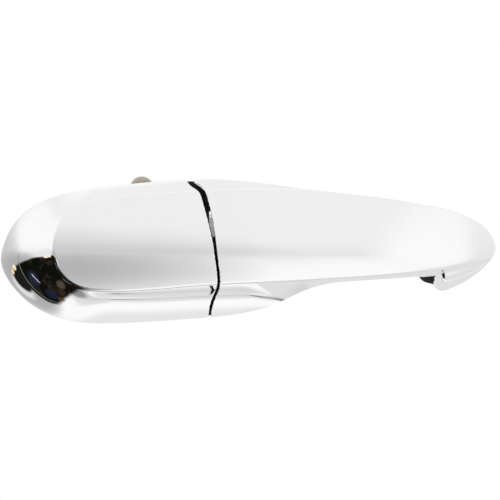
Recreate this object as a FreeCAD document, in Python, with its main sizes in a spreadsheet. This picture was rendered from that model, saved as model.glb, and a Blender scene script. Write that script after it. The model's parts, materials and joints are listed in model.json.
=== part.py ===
import FreeCAD, Part
import math
import os
import Sketcher
from FreeCAD import Placement, Rotation, Vector

# Outside door handle of the pull (strap) kind, for the right-hand side of a car: a hinged strap,
# a fixed end cap behind it, the carrier inside the door and the bellcrank that works the latch.
# Frame: +X towards the hinge (front) end, -Y outwards, +Z up. The door skin's outer surface is
# the plane y = 0. Millimetres.

doc = FreeCAD.newDocument("DoorHandle")
sheet = doc.addObject("Spreadsheet::Sheet", "Sizes")

SIZES = [
    # shells and grip
    ("shellWall", 2.5), ("shellBase", 1.0), ("gapUpper", 2.35), ("gapLower", 1.4),
    ("gripBack", 20.0), ("backWall", 3.2), ("coverGap", 0.35),
    # hinge, pins and their clips
    ("hingeX", 108.0), ("hingeY", 11.0), ("hingeZ", 1.0),
    ("pinRadius", 2.5), ("runGap", 0.05), ("barrelRadius", 5.0), ("barrelWidth", 9.0),
    ("bushOuter", 3.5), ("bushFlange", 1.0), ("cheekThick", 3.0), ("cheekRadius", 5.5),
    ("headThick", 1.4), ("headRadius", 3.4),
    ("clipThick", 0.8), ("clipRadius", 4.2), ("grooveRadius", 2.0),
    # carrier and gaskets
    ("plateFront", 2.3), ("plateThick", 3.0), ("rimDepth", 6.0), ("rimWall", 2.4),
    ("skinThick", 0.8), ("gasketThick", 0.95),
    # bellcrank: axis, lugs, finger, counterweight, output arm
    ("crankY", 26.0), ("crankZ", -14.0), ("hubRadius", 5.0), ("lugRadius", 6.0),
    ("lugRear", -36.0), ("lugFront", 3.0), ("lugThick", 4.0),
    ("fingerReachY", 14.0), ("fingerReachZ", 27.6), ("fingerRadius", 2.5), ("rollerRadius", 3.6),
    ("leverThick", 4.5), ("forkFront", -1.5),
    ("weightDrop", 12.0), ("weightShift", 2.0), ("weightRadius", 5.0),
    ("outY", 18.31), ("outZ", -8.06), ("outRear", -29.5), ("outThick", 4.0),
    # spring
    ("wireRadius", 0.7), ("coilRadius", 6.3), ("coilPitch", 1.9),
    # strap leg and draw hook
    ("legX", -8.5), ("legWidth", 8.0), ("legLow", 7.0), ("legHigh", 17.0),
    ("hookThick", 4.0), ("hookPlay", 0.8),
    # studs, screws and rod
    ("studRadius", 3.0), ("studShoulder", 3.4), ("pegRadius", 1.5), ("studHead", 5.7),
    ("studHeadThick", 2.0), ("studLength", 24.0),
    ("screwRadius", 3.0), ("screwHead", 5.5), ("screwHeadThick", 4.0), ("screwLength", 30.0),
    ("screwY", 12.0), ("insertOuter", 4.2), ("insertLength", 12.0),
    ("smallShank", 1.5), ("smallHead", 3.0), ("smallHeadThick", 1.8), ("smallLength", 8.5),
    ("rodRadius", 2.0), ("stubRadius", 2.4),
]


class Size:
    """A number together with the sheet expression that gives it."""

    def __init__(self, value, expr=None):
        self.value = float(value)
        self.expr = expr or "(%.6f)" % value
        self.driven = "Sizes" in self.expr

    def __add__(self, other):
        other = as_size(other)
        return Size(self.value + other.value, "(%s + %s)" % (self.expr, other.expr))

    def __sub__(self, other):
        other = as_size(other)
        return Size(self.value - other.value, "(%s - %s)" % (self.expr, other.expr))

    def __mul__(self, other):
        other = as_size(other)
        return Size(self.value * other.value, "(%s * %s)" % (self.expr, other.expr))

    def __radd__(self, other):
        return as_size(other) + self

    def __neg__(self):
        return Size(-self.value, "(0 - %s)" % self.expr)


def as_size(number):
    return number if isinstance(number, Size) else Size(number)


class Dimensions:
    """Holds one Size per alias of the sheet."""


dim = Dimensions()
for row, (alias, value) in enumerate(SIZES, 1):
    sheet.set("A%d" % row, alias)
    sheet.set("B%d" % row, str(value))
    sheet.setAlias("B%d" % row, alias)
    setattr(dim, alias, Size(value, "Sizes." + alias))
doc.recompute()

# ------------------------------------------------------------------ shared places
FIT = 0.02        # radial gap of pieces that don't turn in their holes
LOOSE = 0.15      # radial gap round a screw shank
LAP = 0.01        # overlap of fused blocks
CAP, STRAP = -1, 1    # the two sides of the gap between end cap and strap

CAP_SCREWS = [(-62.0, 6.0), (-40.0, -8.0)]      # x, z
GRIP_SCREWS = [(34.0, 1.0), (54.0, 1.0), (72.0, 1.0)]      # x, z
STUDS = [(-50.8, 29.5), (92.0, 9.5)]            # x, z
RIVETS = [(20.0, 12.0), (26.0, 12.0)]           # y, z
RIVET_RADIUS = 1.5
SMALL_SOCKET = (1.1, 0.9)                       # hexagon's corner radius, depth

# x range, z range
TONGUE = ((-98.0, -72.0), (-9.0, 9.0))
LEG_OPENING = ((-22.0, 2.0), (2.0, 22.0))
ARM_OPENING = ((102.2, 112.6), (-4.4, 6.4))

plate_outer = dim.plateFront
plate_inner = plate_outer + dim.plateThick
CARRIER_REAR = -105.5

hinge_z = dim.hingeZ
HINGE = (dim.hingeX, dim.hingeY)
barrel_half = dim.barrelWidth * 0.5
bush_half = barrel_half + dim.bushFlange
cheek_inner = bush_half + 0.1                   # from the barrel's middle to the cheeks
cheek_outer = cheek_inner + dim.cheekThick

CRANK = (dim.crankY, dim.crankZ)
FINGER = (dim.crankY + dim.fingerReachY, dim.crankZ + dim.fingerReachZ)
WEIGHT = (dim.crankY - dim.weightShift, dim.crankZ - dim.weightDrop)
OUT_EYE = (dim.crankY + dim.outY, dim.crankZ + dim.outZ)
LEVER_X = -20.5                                 # rear face of the rear lever arm
WEIGHT_X = LEVER_X - 10.15                      # rear face of the counterweight
STOP = (-24.0, WEIGHT[1])                       # x, z
stop_base = plate_inner + 3.0
STOP_STEM = 2.0
SCREW_LINE = (dim.screwY, 0)

finished = []          # one object per exported piece


def finish(obj, label):
    obj.Label = label
    finished.append(obj)


# ------------------------------------------------------------------ solids in the document
def link(obj, path, size):
    """Ties a property to the sheet when the size comes from it."""
    size = as_size(size)
    if size.driven:
        obj.setExpression(path, size.expr)


def set_size(obj, prop, size):
    setattr(obj, prop, as_size(size).value)
    link(obj, prop, size)


def place(obj, spot, rotation=Rotation()):
    obj.Placement = Placement(Vector(*[as_size(coord).value for coord in spot]), rotation)
    for axis, coord in zip("xyz", spot):
        link(obj, "Placement.Base." + axis, coord)


def around(middle, half):
    return (middle - half, middle + half)


def box(name, xs, ys, zs):
    """Box between the limits given for each axis."""
    obj = doc.addObject("Part::Box", name)
    for prop, (low, high) in zip(("Length", "Width", "Height"), (xs, ys, zs)):
        set_size(obj, prop, as_size(high) - low)
    place(obj, (xs[0], ys[0], zs[0]))
    return obj


CYLINDER_TURN = {
    "X": Rotation(Vector(0, 1, 0), 90),
    "Y": Rotation(Vector(1, 0, 0), -90),
    "Z": Rotation(),
}


def cylinder(name, axis, centre, span, radius):
    """Cylinder over span along axis; centre is in the other two axes, in X, Y, Z order."""
    obj = doc.addObject("Part::Cylinder", name)
    set_size(obj, "Radius", radius)
    set_size(obj, "Height", as_size(span[1]) - span[0])
    spot = list(centre)
    spot.insert("XYZ".index(axis), span[0])
    place(obj, spot, CYLINDER_TURN[axis])
    return obj


def cylinders(name, axis, centres, span, radius):
    return [cylinder("%s%d" % (name, i), axis, centre, span, radius)
            for i, centre in enumerate(centres)]


def fuse(name, objs):
    obj = doc.addObject("Part::MultiFuse", name)
    obj.Shapes = objs
    return obj


def cut(name, base, tools):
    obj = doc.addObject("Part::Cut", name)
    obj.Base = base
    obj.Tool = tools[0] if len(tools) == 1 else fuse(name + "Tools", tools)
    return obj


def group(label, objs):
    obj = doc.addObject("Part::Compound", label)
    obj.Links = objs
    finish(obj, label)


def feature(name, shape):
    """Document object for a computed shape; chips under 5 cubic millimetres are left out."""
    solids = [solid for solid in shape.Solids if solid.Volume > 5.0]
    obj = doc.addObject("Part::Feature", name)
    obj.Shape = solids[0] if len(solids) == 1 else Part.makeCompound(solids)
    obj.Placement = Placement()
    return obj


def sketch(body, name, role, wires, circles=(), offset=0.0):
    """Sketch of closed polygons and (x, y, radius) circles on one of the body's planes."""
    obj = body.newObject("Sketcher::SketchObject", name)
    plane = [item for item in body.Origin.OriginFeatures if item.Role == role][0]
    obj.AttachmentSupport = (plane, [""])
    obj.MapMode = "FlatFace"
    obj.AttachmentOffset = Placement(Vector(0, 0, as_size(offset).value), Rotation())
    link(obj, "AttachmentOffset.Base.z", offset)
    for wire in wires:
        corners = [Vector(as_size(a).value, as_size(b).value, 0) for a, b in wire]
        count = len(corners)
        first = obj.GeometryCount
        for i in range(count):
            obj.addGeometry(Part.LineSegment(corners[i], corners[(i + 1) % count]), False)
        for i in range(count):
            obj.addConstraint(Sketcher.Constraint(
                "Coincident", first + i, 2, first + (i + 1) % count, 1))
        for i in range(count):
            for kind, axis, coord in zip(("DistanceX", "DistanceY"), (-2, -1), wire[i]):
                number = as_size(coord).value
                if abs(number) < 1e-9:
                    obj.addConstraint(Sketcher.Constraint("PointOnObject", first + i, 1, axis))
                    continue
                index = obj.addConstraint(
                    Sketcher.Constraint(kind, -1, 1, first + i, 1, number))
                link(obj, "Constraints[%d]" % index, coord)
    for x, y, radius in circles:
        number = as_size(radius).value
        edge = obj.addGeometry(Part.Circle(Vector(x, y, 0), Vector(0, 0, 1), number), False)
        index = obj.addConstraint(Sketcher.Constraint("Radius", edge, number))
        link(obj, "Constraints[%d]" % index, radius)
    return obj


PRISM_TURN = {
    "Z": Rotation(),                             # local (x, y, z) is (X, Y, Z)
    "Y": Rotation(Vector(1, 0, 0), 90),          # local x is X, local y is Z, local z is -Y
    "X": Rotation(Vector(1, 1, 1), 120),         # local x is Y, local y is Z, local z is X
}


def prism(name, axis, wires, span, circles=()):
    """Padded profile: points are (X, Y) for axis Z, (X, Z) for Y and (Y, Z) for X."""
    start, end = as_size(span[0]), as_size(span[1])
    body = doc.addObject("PartDesign::Body", name)
    offset = -end if axis == "Y" else start
    profile = sketch(body, name + "Sketch", "XY_Plane", wires, circles, offset)
    pad = body.newObject("PartDesign::Pad", name + "Pad")
    pad.Profile = profile
    set_size(pad, "Length", end - start)
    body.Tip = pad
    body.Placement = Placement(Vector(), PRISM_TURN[axis])
    return body


# turns the revolved body's own axis, local +Y, to the named direction
SPIN = {
    "X": Rotation(Vector(0, 0, 1), -90),
    "Y": Rotation(),
    "-Y": Rotation(Vector(0, 0, 1), 180),
    "Z": Rotation(Vector(1, 0, 0), 90),
    "-Z": Rotation(Vector(1, 0, 0), -90),
}


def turned(name, axis, profile, spot, socket=None):
    """Turned piece: profile is (radius, distance along axis), with distance 0 at spot.
    socket is a hexagonal recess at distance 0, as (corner radius, depth)."""
    body = doc.addObject("PartDesign::Body", name)
    outline = sketch(body, name + "Sketch", "XY_Plane", [profile])
    revolution = body.newObject("PartDesign::Revolution", name + "Turn")
    revolution.Profile = outline
    revolution.ReferenceAxis = (outline, ["V_Axis"])
    revolution.Angle = 360
    body.Tip = revolution
    if socket:
        doc.recompute()
        before = body.Shape.Volume
        radius, depth = socket
        angles = [math.radians(60 * i) for i in range(6)]
        hexagon = [(radius * math.cos(angle), radius * math.sin(angle)) for angle in angles]
        pocket_sketch = sketch(body, name + "Hex", "XZ_Plane", [hexagon])
        pocket = body.newObject("PartDesign::Pocket", name + "Socket")
        pocket.Profile = pocket_sketch
        pocket.Length = depth
        body.Tip = pocket
        doc.recompute()
        # the pocket may point out of the head
        if body.Shape.Volume > before - 1.0:
            pocket.Reversed = True
            doc.recompute()
        assert body.Shape.Volume < before - 1.0, name + " socket cuts nothing"
    place(body, spot, SPIN[axis])
    return body


def turned_group(label, name, axis, profile, spots, socket=None):
    group(label, [turned("%s%d" % (name, i), axis, profile, spot, socket)
                  for i, spot in enumerate(spots)])


def rectangle(limits, grow_x=0.0, grow_z=None):
    """Corners of an (x range, z range) rectangle, moved outwards by the given amounts."""
    (x0, x1), (z0, z1) = limits
    if grow_z is None:
        grow_z = grow_x
    x0, x1, z0, z1 = x0 - grow_x, x1 + grow_x, z0 - grow_z, z1 + grow_z
    return [(x0, z0), (x0, z1), (x1, z1), (x1, z0)]


# ------------------------------------------------------------------ curves
def cubic(xs, ys):
    """Natural cubic spline through the points, held constant beyond its ends."""
    count = len(xs)
    steps = [xs[i + 1] - xs[i] for i in range(count - 1)]
    # tridiagonal system for the second derivatives (bends)
    lower = [0.0] * count
    middle = [1.0] * count
    upper = [0.0] * count
    right = [0.0] * count
    for i in range(1, count - 1):
        lower[i] = steps[i - 1]
        middle[i] = 2 * (steps[i - 1] + steps[i])
        upper[i] = steps[i]
        right[i] = 6 * ((ys[i + 1] - ys[i]) / steps[i] - (ys[i] - ys[i - 1]) / steps[i - 1])
    for i in range(1, count):
        ratio = lower[i] / middle[i - 1]
        middle[i] -= ratio * upper[i - 1]
        right[i] -= ratio * right[i - 1]
    bends = [0.0] * count
    bends[-1] = right[-1] / middle[-1]
    for i in range(count - 2, -1, -1):
        bends[i] = (right[i] - upper[i] * bends[i + 1]) / middle[i]

    def spline(x):
        x = min(max(x, xs[0]), xs[-1])
        i = 0
        while i < count - 2 and x > xs[i + 1]:
            i += 1
        past = x - xs[i]
        left = xs[i + 1] - x
        gap = steps[i]
        return ((bends[i] * left ** 3 + bends[i + 1] * past ** 3) / (6 * gap)
                + (ys[i] / gap - bends[i] * gap / 6) * left
                + (ys[i + 1] / gap - bends[i + 1] * gap / 6) * past)
    return spline


def spline_through(points):
    """Splines x(s) and z(s) through the points, and each point's chord length s."""
    chord = [0.0]
    for (x0, z0), (x1, z1) in zip(points, points[1:]):
        chord.append(chord[-1] + math.hypot(x1 - x0, z1 - z0))
    return cubic(chord, [p[0] for p in points]), cubic(chord, [p[1] for p in points]), chord


def closed_curve(points, count):
    """Smooth closed curve through the points, as count points."""
    x_at, z_at, chord = spline_through(points[-6:] + points + points[:7])
    start, end = chord[6], chord[6 + len(points)]
    stations = [start + (end - start) * i / count for i in range(count)]
    return [(x_at(station), z_at(station)) for station in stations]


def step(x, start, end):
    """Smooth rise from 0 at start to 1 at end."""
    u = min(1.0, max(0.0, (x - start) / (end - start)))
    return u * u * u * (u * (u * 6 - 15) + 10)


def soft_min(first, second, width):
    near = max(width - abs(first - second), 0.0) / width
    return min(first, second) - near * near * near * width / 6


def soft_max(first, second, width):
    return -soft_min(-first, -second, width)


# ------------------------------------------------------------------ outer form
# Outlines as (x, z), clockwise seen from outside.
SILHOUETTE = [
    (-117.8, -3.8), (-116.4, 2.4), (-113.5, 9.3), (-109.2, 15.3), (-103.5, 20.4), (-94.0, 24.9),
    (-79.8, 28.5), (-60.8, 31.1), (-41.8, 32.9), (-20.4, 33.9), (-3.8, 33.0), (15.2, 30.9),
    (34.2, 28.6), (53.2, 26.5), (72.2, 24.0), (86.5, 21.3), (98.3, 18.3), (107.8, 14.3),
    (114.0, 9.8), (117.1, 4.6), (118.0, 0.0), (116.6, -3.2), (113.2, -5.8), (107.8, -8.4),
    (98.3, -11.1), (86.5, -12.9), (72.2, -14.0), (53.2, -15.2), (41.3, -16.2), (34.2, -17.6),
    (24.7, -20.9), (15.2, -24.8), (5.7, -28.2), (-3.8, -30.4), (-22.8, -32.5), (-41.8, -33.9),
    (-60.8, -34.9), (-72.7, -35.0), (-84.5, -33.8), (-94.0, -31.0), (-103.5, -25.8),
    (-109.2, -20.7), (-113.8, -15.0), (-116.6, -9.8)]
# the raised middle
CROWN = [
    (-92.6, 1.4), (-91.5, 8.6), (-88.4, 14.9), (-81.6, 20.4), (-70.3, 24.2), (-56.0, 26.0),
    (-41.8, 26.9), (-27.5, 27.9), (-15.7, 28.5), (0.9, 28.9), (20.0, 28.9), (40.0, 28.6),
    (60.0, 27.6), (80.0, 25.2), (98.0, 21.0), (110.0, 16.0), (118.0, 9.0), (121.0, 2.0),
    (118.5, -2.4), (111.0, -5.0), (98.3, -7.9), (81.7, -10.3), (62.7, -12.0), (43.7, -13.2),
    (24.7, -14.3), (5.7, -15.3), (-13.3, -16.3), (-27.5, -17.3), (-41.8, -18.6), (-56.0, -19.6),
    (-70.3, -19.6), (-81.2, -17.4), (-88.0, -12.0), (-91.6, -5.2)]
# the strap's foot at the hinge end
FOOT = [
    (86.6, -5.0), (86.6, 5.0), (87.6, 13.0), (91.0, 17.2), (98.0, 16.8), (106.0, 13.2),
    (112.0, 9.6), (116.2, 5.0), (117.6, 1.0), (117.2, -3.4), (114.0, -7.7), (110.2, -10.9),
    (105.4, -14.1), (100.7, -16.7), (95.9, -18.8), (92.1, -19.7), (89.5, -18.6), (87.8, -15.7),
    (86.9, -12.0)]
# middle of the gap between end cap and strap, as (x, z) from the top down
GAP = [
    (-29.8, 36.5), (-28.5, 34.0), (-26.4, 31.4), (-23.5, 29.5), (-21.3, 26.9), (-19.9, 22.6),
    (-18.0, 15.2), (-16.3, 7.1), (-15.0, -2.4), (-14.1, -9.5), (-13.7, -14.2), (-14.2, -17.8),
    (-15.8, -21.8), (-17.4, -26.1), (-18.1, -30.0), (-18.3, -36.5)]
# highest line of the form: x, height above the skin
CREST = [
    (-118, 18.6), (-104, 20.6), (-92, 22.6), (-76, 25.3), (-60, 27.8), (-40, 30.6), (-15.7, 33.5),
    (15.2, 36.2), (43.7, 36.8), (72.2, 33.2), (91.2, 26.4), (105.5, 17.8), (113, 10.8),
    (118, 5.6)]
# x of the loft sections
OUTER_STATIONS = [
    -117.4, -116.4, -114.5, -112, -108.5, -104.5, -100, -95, -89.5, -83, -76, -68, -60, -51,
    -42, -33, -24, -15, -6, 1, 5, 8.5, 13, 18, 23, 28, 34, 42, 52, 62, 70, 76, 80, 83.5, 86,
    88, 90, 92, 95, 99, 103, 107, 110.5, 113.5, 115.8, 117.2, 117.7]
INNER_STATIONS = [
    -113.6, -111, -107, -102, -96, -89, -81, -72, -62, -51, -40, -28, -16, -5, 3, 9, 14, 19,
    24, 29, 36, 46, 58, 68, 76, 80, 83.5, 86.5, 89.5, 93, 97, 101, 105, 108.5, 111.5]

crest = cubic(*zip(*CREST))
silhouette_line = closed_curve(SILHOUETTE, 170)
crown_line = closed_curve(CROWN, 140)
foot_line = closed_curve(FOOT, 70)

# z grid on which distances to the outlines are tabulated
Z_LOW, Z_STEP, Z_COUNT = -42.0, 0.5, 169


def back(x):
    """Height of the strap's back face above the skin."""
    rise = step(x, 7.0, 31.0) * (1 - step(x, 77.0, 91.0))
    relief = max(0.0, 0.40 + 0.2126 * (x - dim.hingeX.value))
    base = dim.shellBase.value
    return base + (dim.gripBack.value - base) * rise + relief


def rim_height(x):
    """Height of the outer rim (skirt) above the skin."""
    crest_height = crest(x)
    low = soft_max(crest_height - 10.5, 0.5 * crest_height, 3.0)
    share = step(x, 5.0, 31.0)
    return 7.0 * (1 - share) + low * share


def signed_distance(polygon, x, z):
    """Distance to a closed polygon, negative inside."""
    best = 1e9
    inside = False
    x0, z0 = polygon[-1]
    for x1, z1 in polygon:
        run, rise = x1 - x0, z1 - z0
        t = ((x - x0) * run + (z - z0) * rise) / (run * run + rise * rise)
        t = 0.0 if t < 0 else (1.0 if t > 1 else t)
        dx, dz = x0 + t * run - x, z0 + t * rise - z
        square = dx * dx + dz * dz
        if square < best:
            best = square
        if (z0 > z) != (z1 > z) and x < x0 + (z - z0) * run / rise:
            inside = not inside
        x0, z0 = x1, z1
    return -math.sqrt(best) if inside else math.sqrt(best)


def distance_column(line, x):
    return [signed_distance(line, x, Z_LOW + i * Z_STEP) for i in range(Z_COUNT)]


def look_up(column, z):
    u = (z - Z_LOW) / Z_STEP
    i = min(Z_COUNT - 2, max(0, int(u)))
    return column[i] + (column[i + 1] - column[i]) * (u - i)


class Slice:
    """The outer form's implicit function at one X."""

    def __init__(self, x):
        self.silhouette = distance_column(silhouette_line, x)
        self.crown = distance_column(crown_line, x)
        self.foot = distance_column(foot_line, x) if x > 70 else None
        self.crest = crest(x)
        self.rim = rim_height(x)
        self.back = back(x)
        # 1 at the rear tip, 0 ahead of it
        self.tip = 1 - step(x, -97.0, -62.0)
        # blend widths: crown wall to rim, and crown wall to top
        self.rim_blend = (6.0 + 6.0 * (1 - step(x, -10.0, 20.0))
                          + 7.0 * (1 - step(x, -97.0, -60.0)))
        self.top_blend = 1.3 + 1.7 * step(x, 50.0, 100.0)
        # share of the wider lower flank, and the rim's height below it
        self.flare = step(x, -4.0, 20.0)
        self.ledge = 7.0 + (self.rim - 7.0) * step(x, 66.0, 92.0)

    def value(self, y, z):
        """Negative inside the form, positive outside."""
        height = -y
        to_silhouette = look_up(self.silhouette, z)
        to_crown = look_up(self.crown, z)
        # smooth distances above and below z = -1, where the top is highest
        offset = z + 1.0
        root = math.sqrt(offset * offset + 9.0)
        above, below = (offset + root) / 2, (root - offset) / 2
        top = (self.crest - above * 0.087 - above * above / 240
               - below * 0.176 - below * below / 120 + 0.4)
        under = step(-z, 0.0, 8.0)
        flare = self.flare * under
        reach = (to_crown - to_silhouette) / max(4.0, top - self.back - 1.5)
        reach = min(1.0, max(0.25, reach))
        slope = (0.25 + 1.05 * self.tip) * (1 - flare) + reach * flare
        rim = (self.rim * (1 - under) + self.ledge * under
               + 0.10 * min(12.0, max(0.0, -to_silhouette)))
        flank = (to_crown - (top - height) * slope) / math.sqrt(1 + slope ** 2)
        form = soft_max(height - top, flank, self.top_blend)
        form = soft_min(form, height - rim, self.rim_blend)
        form = soft_max(form, to_silhouette + (height - 1) * 0.03, 1.6)
        if self.foot:
            to_foot = look_up(self.foot, z)
            foot = soft_max(to_foot + (height - 1) * 0.34, height - (top - 4.0), 3.0)
            form = soft_min(form, foot, 3.0)
        return form


slices = {}


def section(x, offset, drop, count):
    """Section points (y, z) at X: the form moved in by offset, its flat side at the back face
    plus drop. None where nothing is left."""
    if x not in slices:
        slices[x] = Slice(x)
    piece = slices[x]
    flat_y = -piece.back + drop
    filled = [i for i in range(Z_COUNT)
              if piece.silhouette[i] < 0 or (piece.foot and piece.foot[i] < 0)]
    centre_z = 0.0
    if filled:
        centre_z = Z_LOW + (filled[0] + filled[-1]) / 2 * Z_STEP
    centre_y = flat_y - 0.05
    if piece.value(centre_y, centre_z) + offset >= -0.02:
        return None

    def inside(dy, dz, reach):
        return piece.value(centre_y + dy * reach, centre_z + dz * reach) + offset < 0

    # rays fan outwards from the centre, from straight up to straight down
    rays = 181
    hits = []
    for i in range(rays):
        angle = math.pi * i / (rays - 1)
        dy, dz = -math.sin(angle), math.cos(angle)
        near = 0.0
        while inside(dy, dz, near + 1.0):
            near += 1.0
        far = near + 1.0
        for _ in range(16):
            middle = (near + far) / 2
            if inside(dy, dz, middle):
                near = middle
            else:
                far = middle
        hits.append((centre_y + dy * near, centre_z + dz * near))
    hits[0] = (flat_y, hits[0][1])
    hits[-1] = (flat_y, hits[-1][1])

    # even spacing along the outline
    length = [0.0]
    for (y0, z0), (y1, z1) in zip(hits, hits[1:]):
        length.append(length[-1] + math.hypot(y1 - y0, z1 - z0))
    points = []
    j = 0
    for k in range(count):
        target = length[-1] * k / (count - 1)
        while j < rays - 2 and length[j + 1] < target:
            j += 1
        u = (target - length[j]) / max(1e-9, length[j + 1] - length[j])
        (y0, z0), (y1, z1) = hits[j], hits[j + 1]
        points.append((y0 + (y1 - y0) * u, z0 + (z1 - z0) * u))
    return points


def loft(stations, offset, drop, count):
    wires = []
    for x in stations:
        points = section(x, offset, drop, count)
        if points is None:
            continue
        corners = [Vector(x, y, z) for y, z in points]
        curve = Part.BSplineCurve()
        curve.interpolate(Points=corners, Parameters=[k / (count - 1.0) for k in range(count)])
        wires.append(Part.Wire([curve.toShape(), Part.makeLine(corners[-1], corners[0])]))
    return Part.makeLoft(wires, True, False)


wall = dim.shellWall.value
outer_form = loft(OUTER_STATIONS, 0.0, 0.0, 57)
cavity = loft(INNER_STATIONS, wall, 1.5, 45)
cavity_fit = loft(INNER_STATIONS, wall + dim.coverGap.value, 0.0, 45)   # for pieces that fit in it


# ------------------------------------------------------------------ flat pieces and the gap
def slab(face, y, thickness):
    """Face in the plane y = 0, moved to y and extruded towards +Y."""
    face.translate(Vector(0, y, 0))
    return face.extrude(Vector(0, thickness, 0))


def gap_edge(side, extra):
    """Edge of the gap, moved by half its width plus extra to one side."""
    x_at, z_at, chord = spline_through(GAP)
    end = chord[-1]
    count = 22
    nudge = 0.05
    points = []
    for i in range(count + 1):
        s = end * i / count
        x, z = x_at(s), z_at(s)
        before, after = max(0, s - nudge), min(end, s + nudge)
        run, rise = x_at(after) - x_at(before), z_at(after) - z_at(before)
        length = math.hypot(run, rise)
        lower, upper = dim.gapLower.value, dim.gapUpper.value
        width = lower + (upper - lower) * step(z, -15.0, 0.0)
        shift = side * (width / 2 + extra)
        points.append(Vector(x - rise / length * shift, 0, z + run / length * shift))
    return points


def beside_gap(side, extra, y0, y1):
    """Everything on one side of the gap, between y0 and y1."""
    points = gap_edge(side, extra)
    far = side * 160.0
    corners = [points[-1], Vector(points[-1].x, 0, -60), Vector(far, 0, -60),
               Vector(far, 0, 60), Vector(points[0].x, 0, 60), points[0]]
    curve = Part.BSplineCurve()
    curve.interpolate(points)
    lines = [Part.makeLine(a, b) for a, b in zip(corners, corners[1:])]
    return slab(Part.Face(Part.Wire([curve.toShape()] + lines)), y0, y1 - y0)


def offset_line(line, distance):
    """Clockwise closed line moved inwards by distance."""
    moved = []
    count = len(line)
    for i in range(count):
        before, after = line[i - 1], line[(i + 1) % count]
        run, rise = after[0] - before[0], after[1] - before[1]
        length = math.hypot(run, rise)
        moved.append((line[i][0] + rise / length * distance,
                      line[i][1] - run / length * distance))
    return moved


def flat_face(line):
    curve = Part.BSplineCurve()
    curve.interpolate([Vector(x, 0, z) for x, z in line], PeriodicFlag=True)
    return Part.Face(Part.Wire([curve.toShape()]))


def ring_face(line, outer, inner):
    """Flat ring between two inward offsets of a clockwise outline."""
    return flat_face(offset_line(line, outer)).cut(flat_face(offset_line(line, inner)))


seal_line = closed_curve(SILHOUETTE, 90)
gasket = dim.gasketThick.value


# ------------------------------------------------------------------ end cap
def half_form(side):
    """One side's outer form, and the shell left when its cavity is cut out."""
    solid = outer_form.common(beside_gap(side, 0.0, -60, 5))
    room = cavity.common(beside_gap(side, wall, -60, 5))
    return solid, solid.cut(room)


def make_end_cap_shell():
    boss_radius, boss_end, hole_depth = 3.4, -4.2, 8.0
    inwards = Vector(0, 1, 0)
    solid, shell = half_form(CAP)
    for x, z in CAP_SCREWS:
        boss = Part.makeCylinder(boss_radius, 60, Vector(x, -60, z), inwards)
        boss = boss.common(Part.makeBox(20, 60 + boss_end, 20, Vector(x - 10, -60, z - 10)))
        hole = Part.makeCylinder(dim.smallShank.value + FIT, hole_depth,
                                 Vector(x, boss_end - hole_depth, z), inwards)
        shell = shell.fuse(boss.common(solid)).cut(hole)
    finish(feature("end_cap_shell", shell), "end_cap_shell")


def make_end_cap_base():
    """Plate closing the cap, with a tongue that reaches into the carrier."""
    plate = feature("CapBasePlate", cavity_fit.common(beside_gap(CAP, wall + 0.2, -4.0, -1.0)))
    tongue = box("CapTongue", TONGUE[0], (-4.0, 19.0), TONGUE[1])
    rear = TONGUE[0][0]
    cuts = cylinders("CapBaseHole", "Y", CAP_SCREWS, (-6, 0), dim.smallShank + LOOSE)
    cuts += cylinders("CapBasePocket", "Y", CAP_SCREWS, (-2.9, 0), dim.smallHead + 0.2)
    cuts += [
        cylinder("InsertHole", "X", SCREW_LINE, (rear - 0.5, -85.9), dim.insertOuter + FIT),
        cylinder("ScrewWay", "X", SCREW_LINE, (rear - 1.0, -76.0), dim.screwRadius + 0.3),
        box("TongueCore", (-84.0, -75.0), (-3.0, 16.0), (-6.5, -4.0)),
        box("TongueCore2", (-84.0, -75.0), (-3.0, 16.0), (4.0, 6.5))]
    finish(cut("end_cap_base", fuse("CapBaseSolid", [plate, tongue]), cuts), "end_cap_base")


# profiles of turned pieces are (radius, distance along the axis)
SMALL_SCREW = [
    (0, 0), (dim.smallHead, 0), (dim.smallHead, dim.smallHeadThick),
    (dim.smallShank, dim.smallHeadThick), (dim.smallShank, dim.smallLength - 0.8),
    (0.7, dim.smallLength), (0, dim.smallLength)]


def make_cap_base_screws():
    turned_group("cap_base_screws", "CapBaseScrew", "-Y", SMALL_SCREW,
                 [(x, -1.1, z) for x, z in CAP_SCREWS], SMALL_SOCKET)


def make_cap_gasket():
    inset_outer, inset_inner = 1.0, 5.5
    ring = slab(ring_face(seal_line, inset_outer, inset_inner), -gasket, gasket)
    ring = ring.common(beside_gap(CAP, 1.0, -3, 3))
    # two tabs reach across the ends of the gap, so the door skin isn't seen through it
    blank = slab(flat_face(offset_line(seal_line, inset_outer)), -gasket, gasket)
    upper = blank.common(Part.makeBox(28, 4, 14, Vector(-40, -2, 26.3)))
    upper = upper.common(beside_gap(CAP, -2.2, -3, 3))
    lower = blank.common(Part.makeBox(20, 4, 14, Vector(-32, -2, -39.7)))
    lower = lower.common(beside_gap(CAP, -1.25, -3, 3))
    ring = ring.fuse([upper, lower]).removeSplitter()
    finish(feature("cap_gasket", ring), "cap_gasket")


def make_cap_lock_screw():
    head, radius, length = dim.screwHeadThick, dim.screwRadius, dim.screwLength
    profile = [(0, 0), (dim.screwHead, 0), (dim.screwHead, head), (radius, head),
               (radius, length - 1.0), (radius - 1.0, length), (0, length)]
    start = CARRIER_REAR - 0.1 - head.value
    finish(turned("cap_lock_screw", "X", profile, (start, *SCREW_LINE), (2.9, 2.6)),
           "cap_lock_screw")


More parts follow.
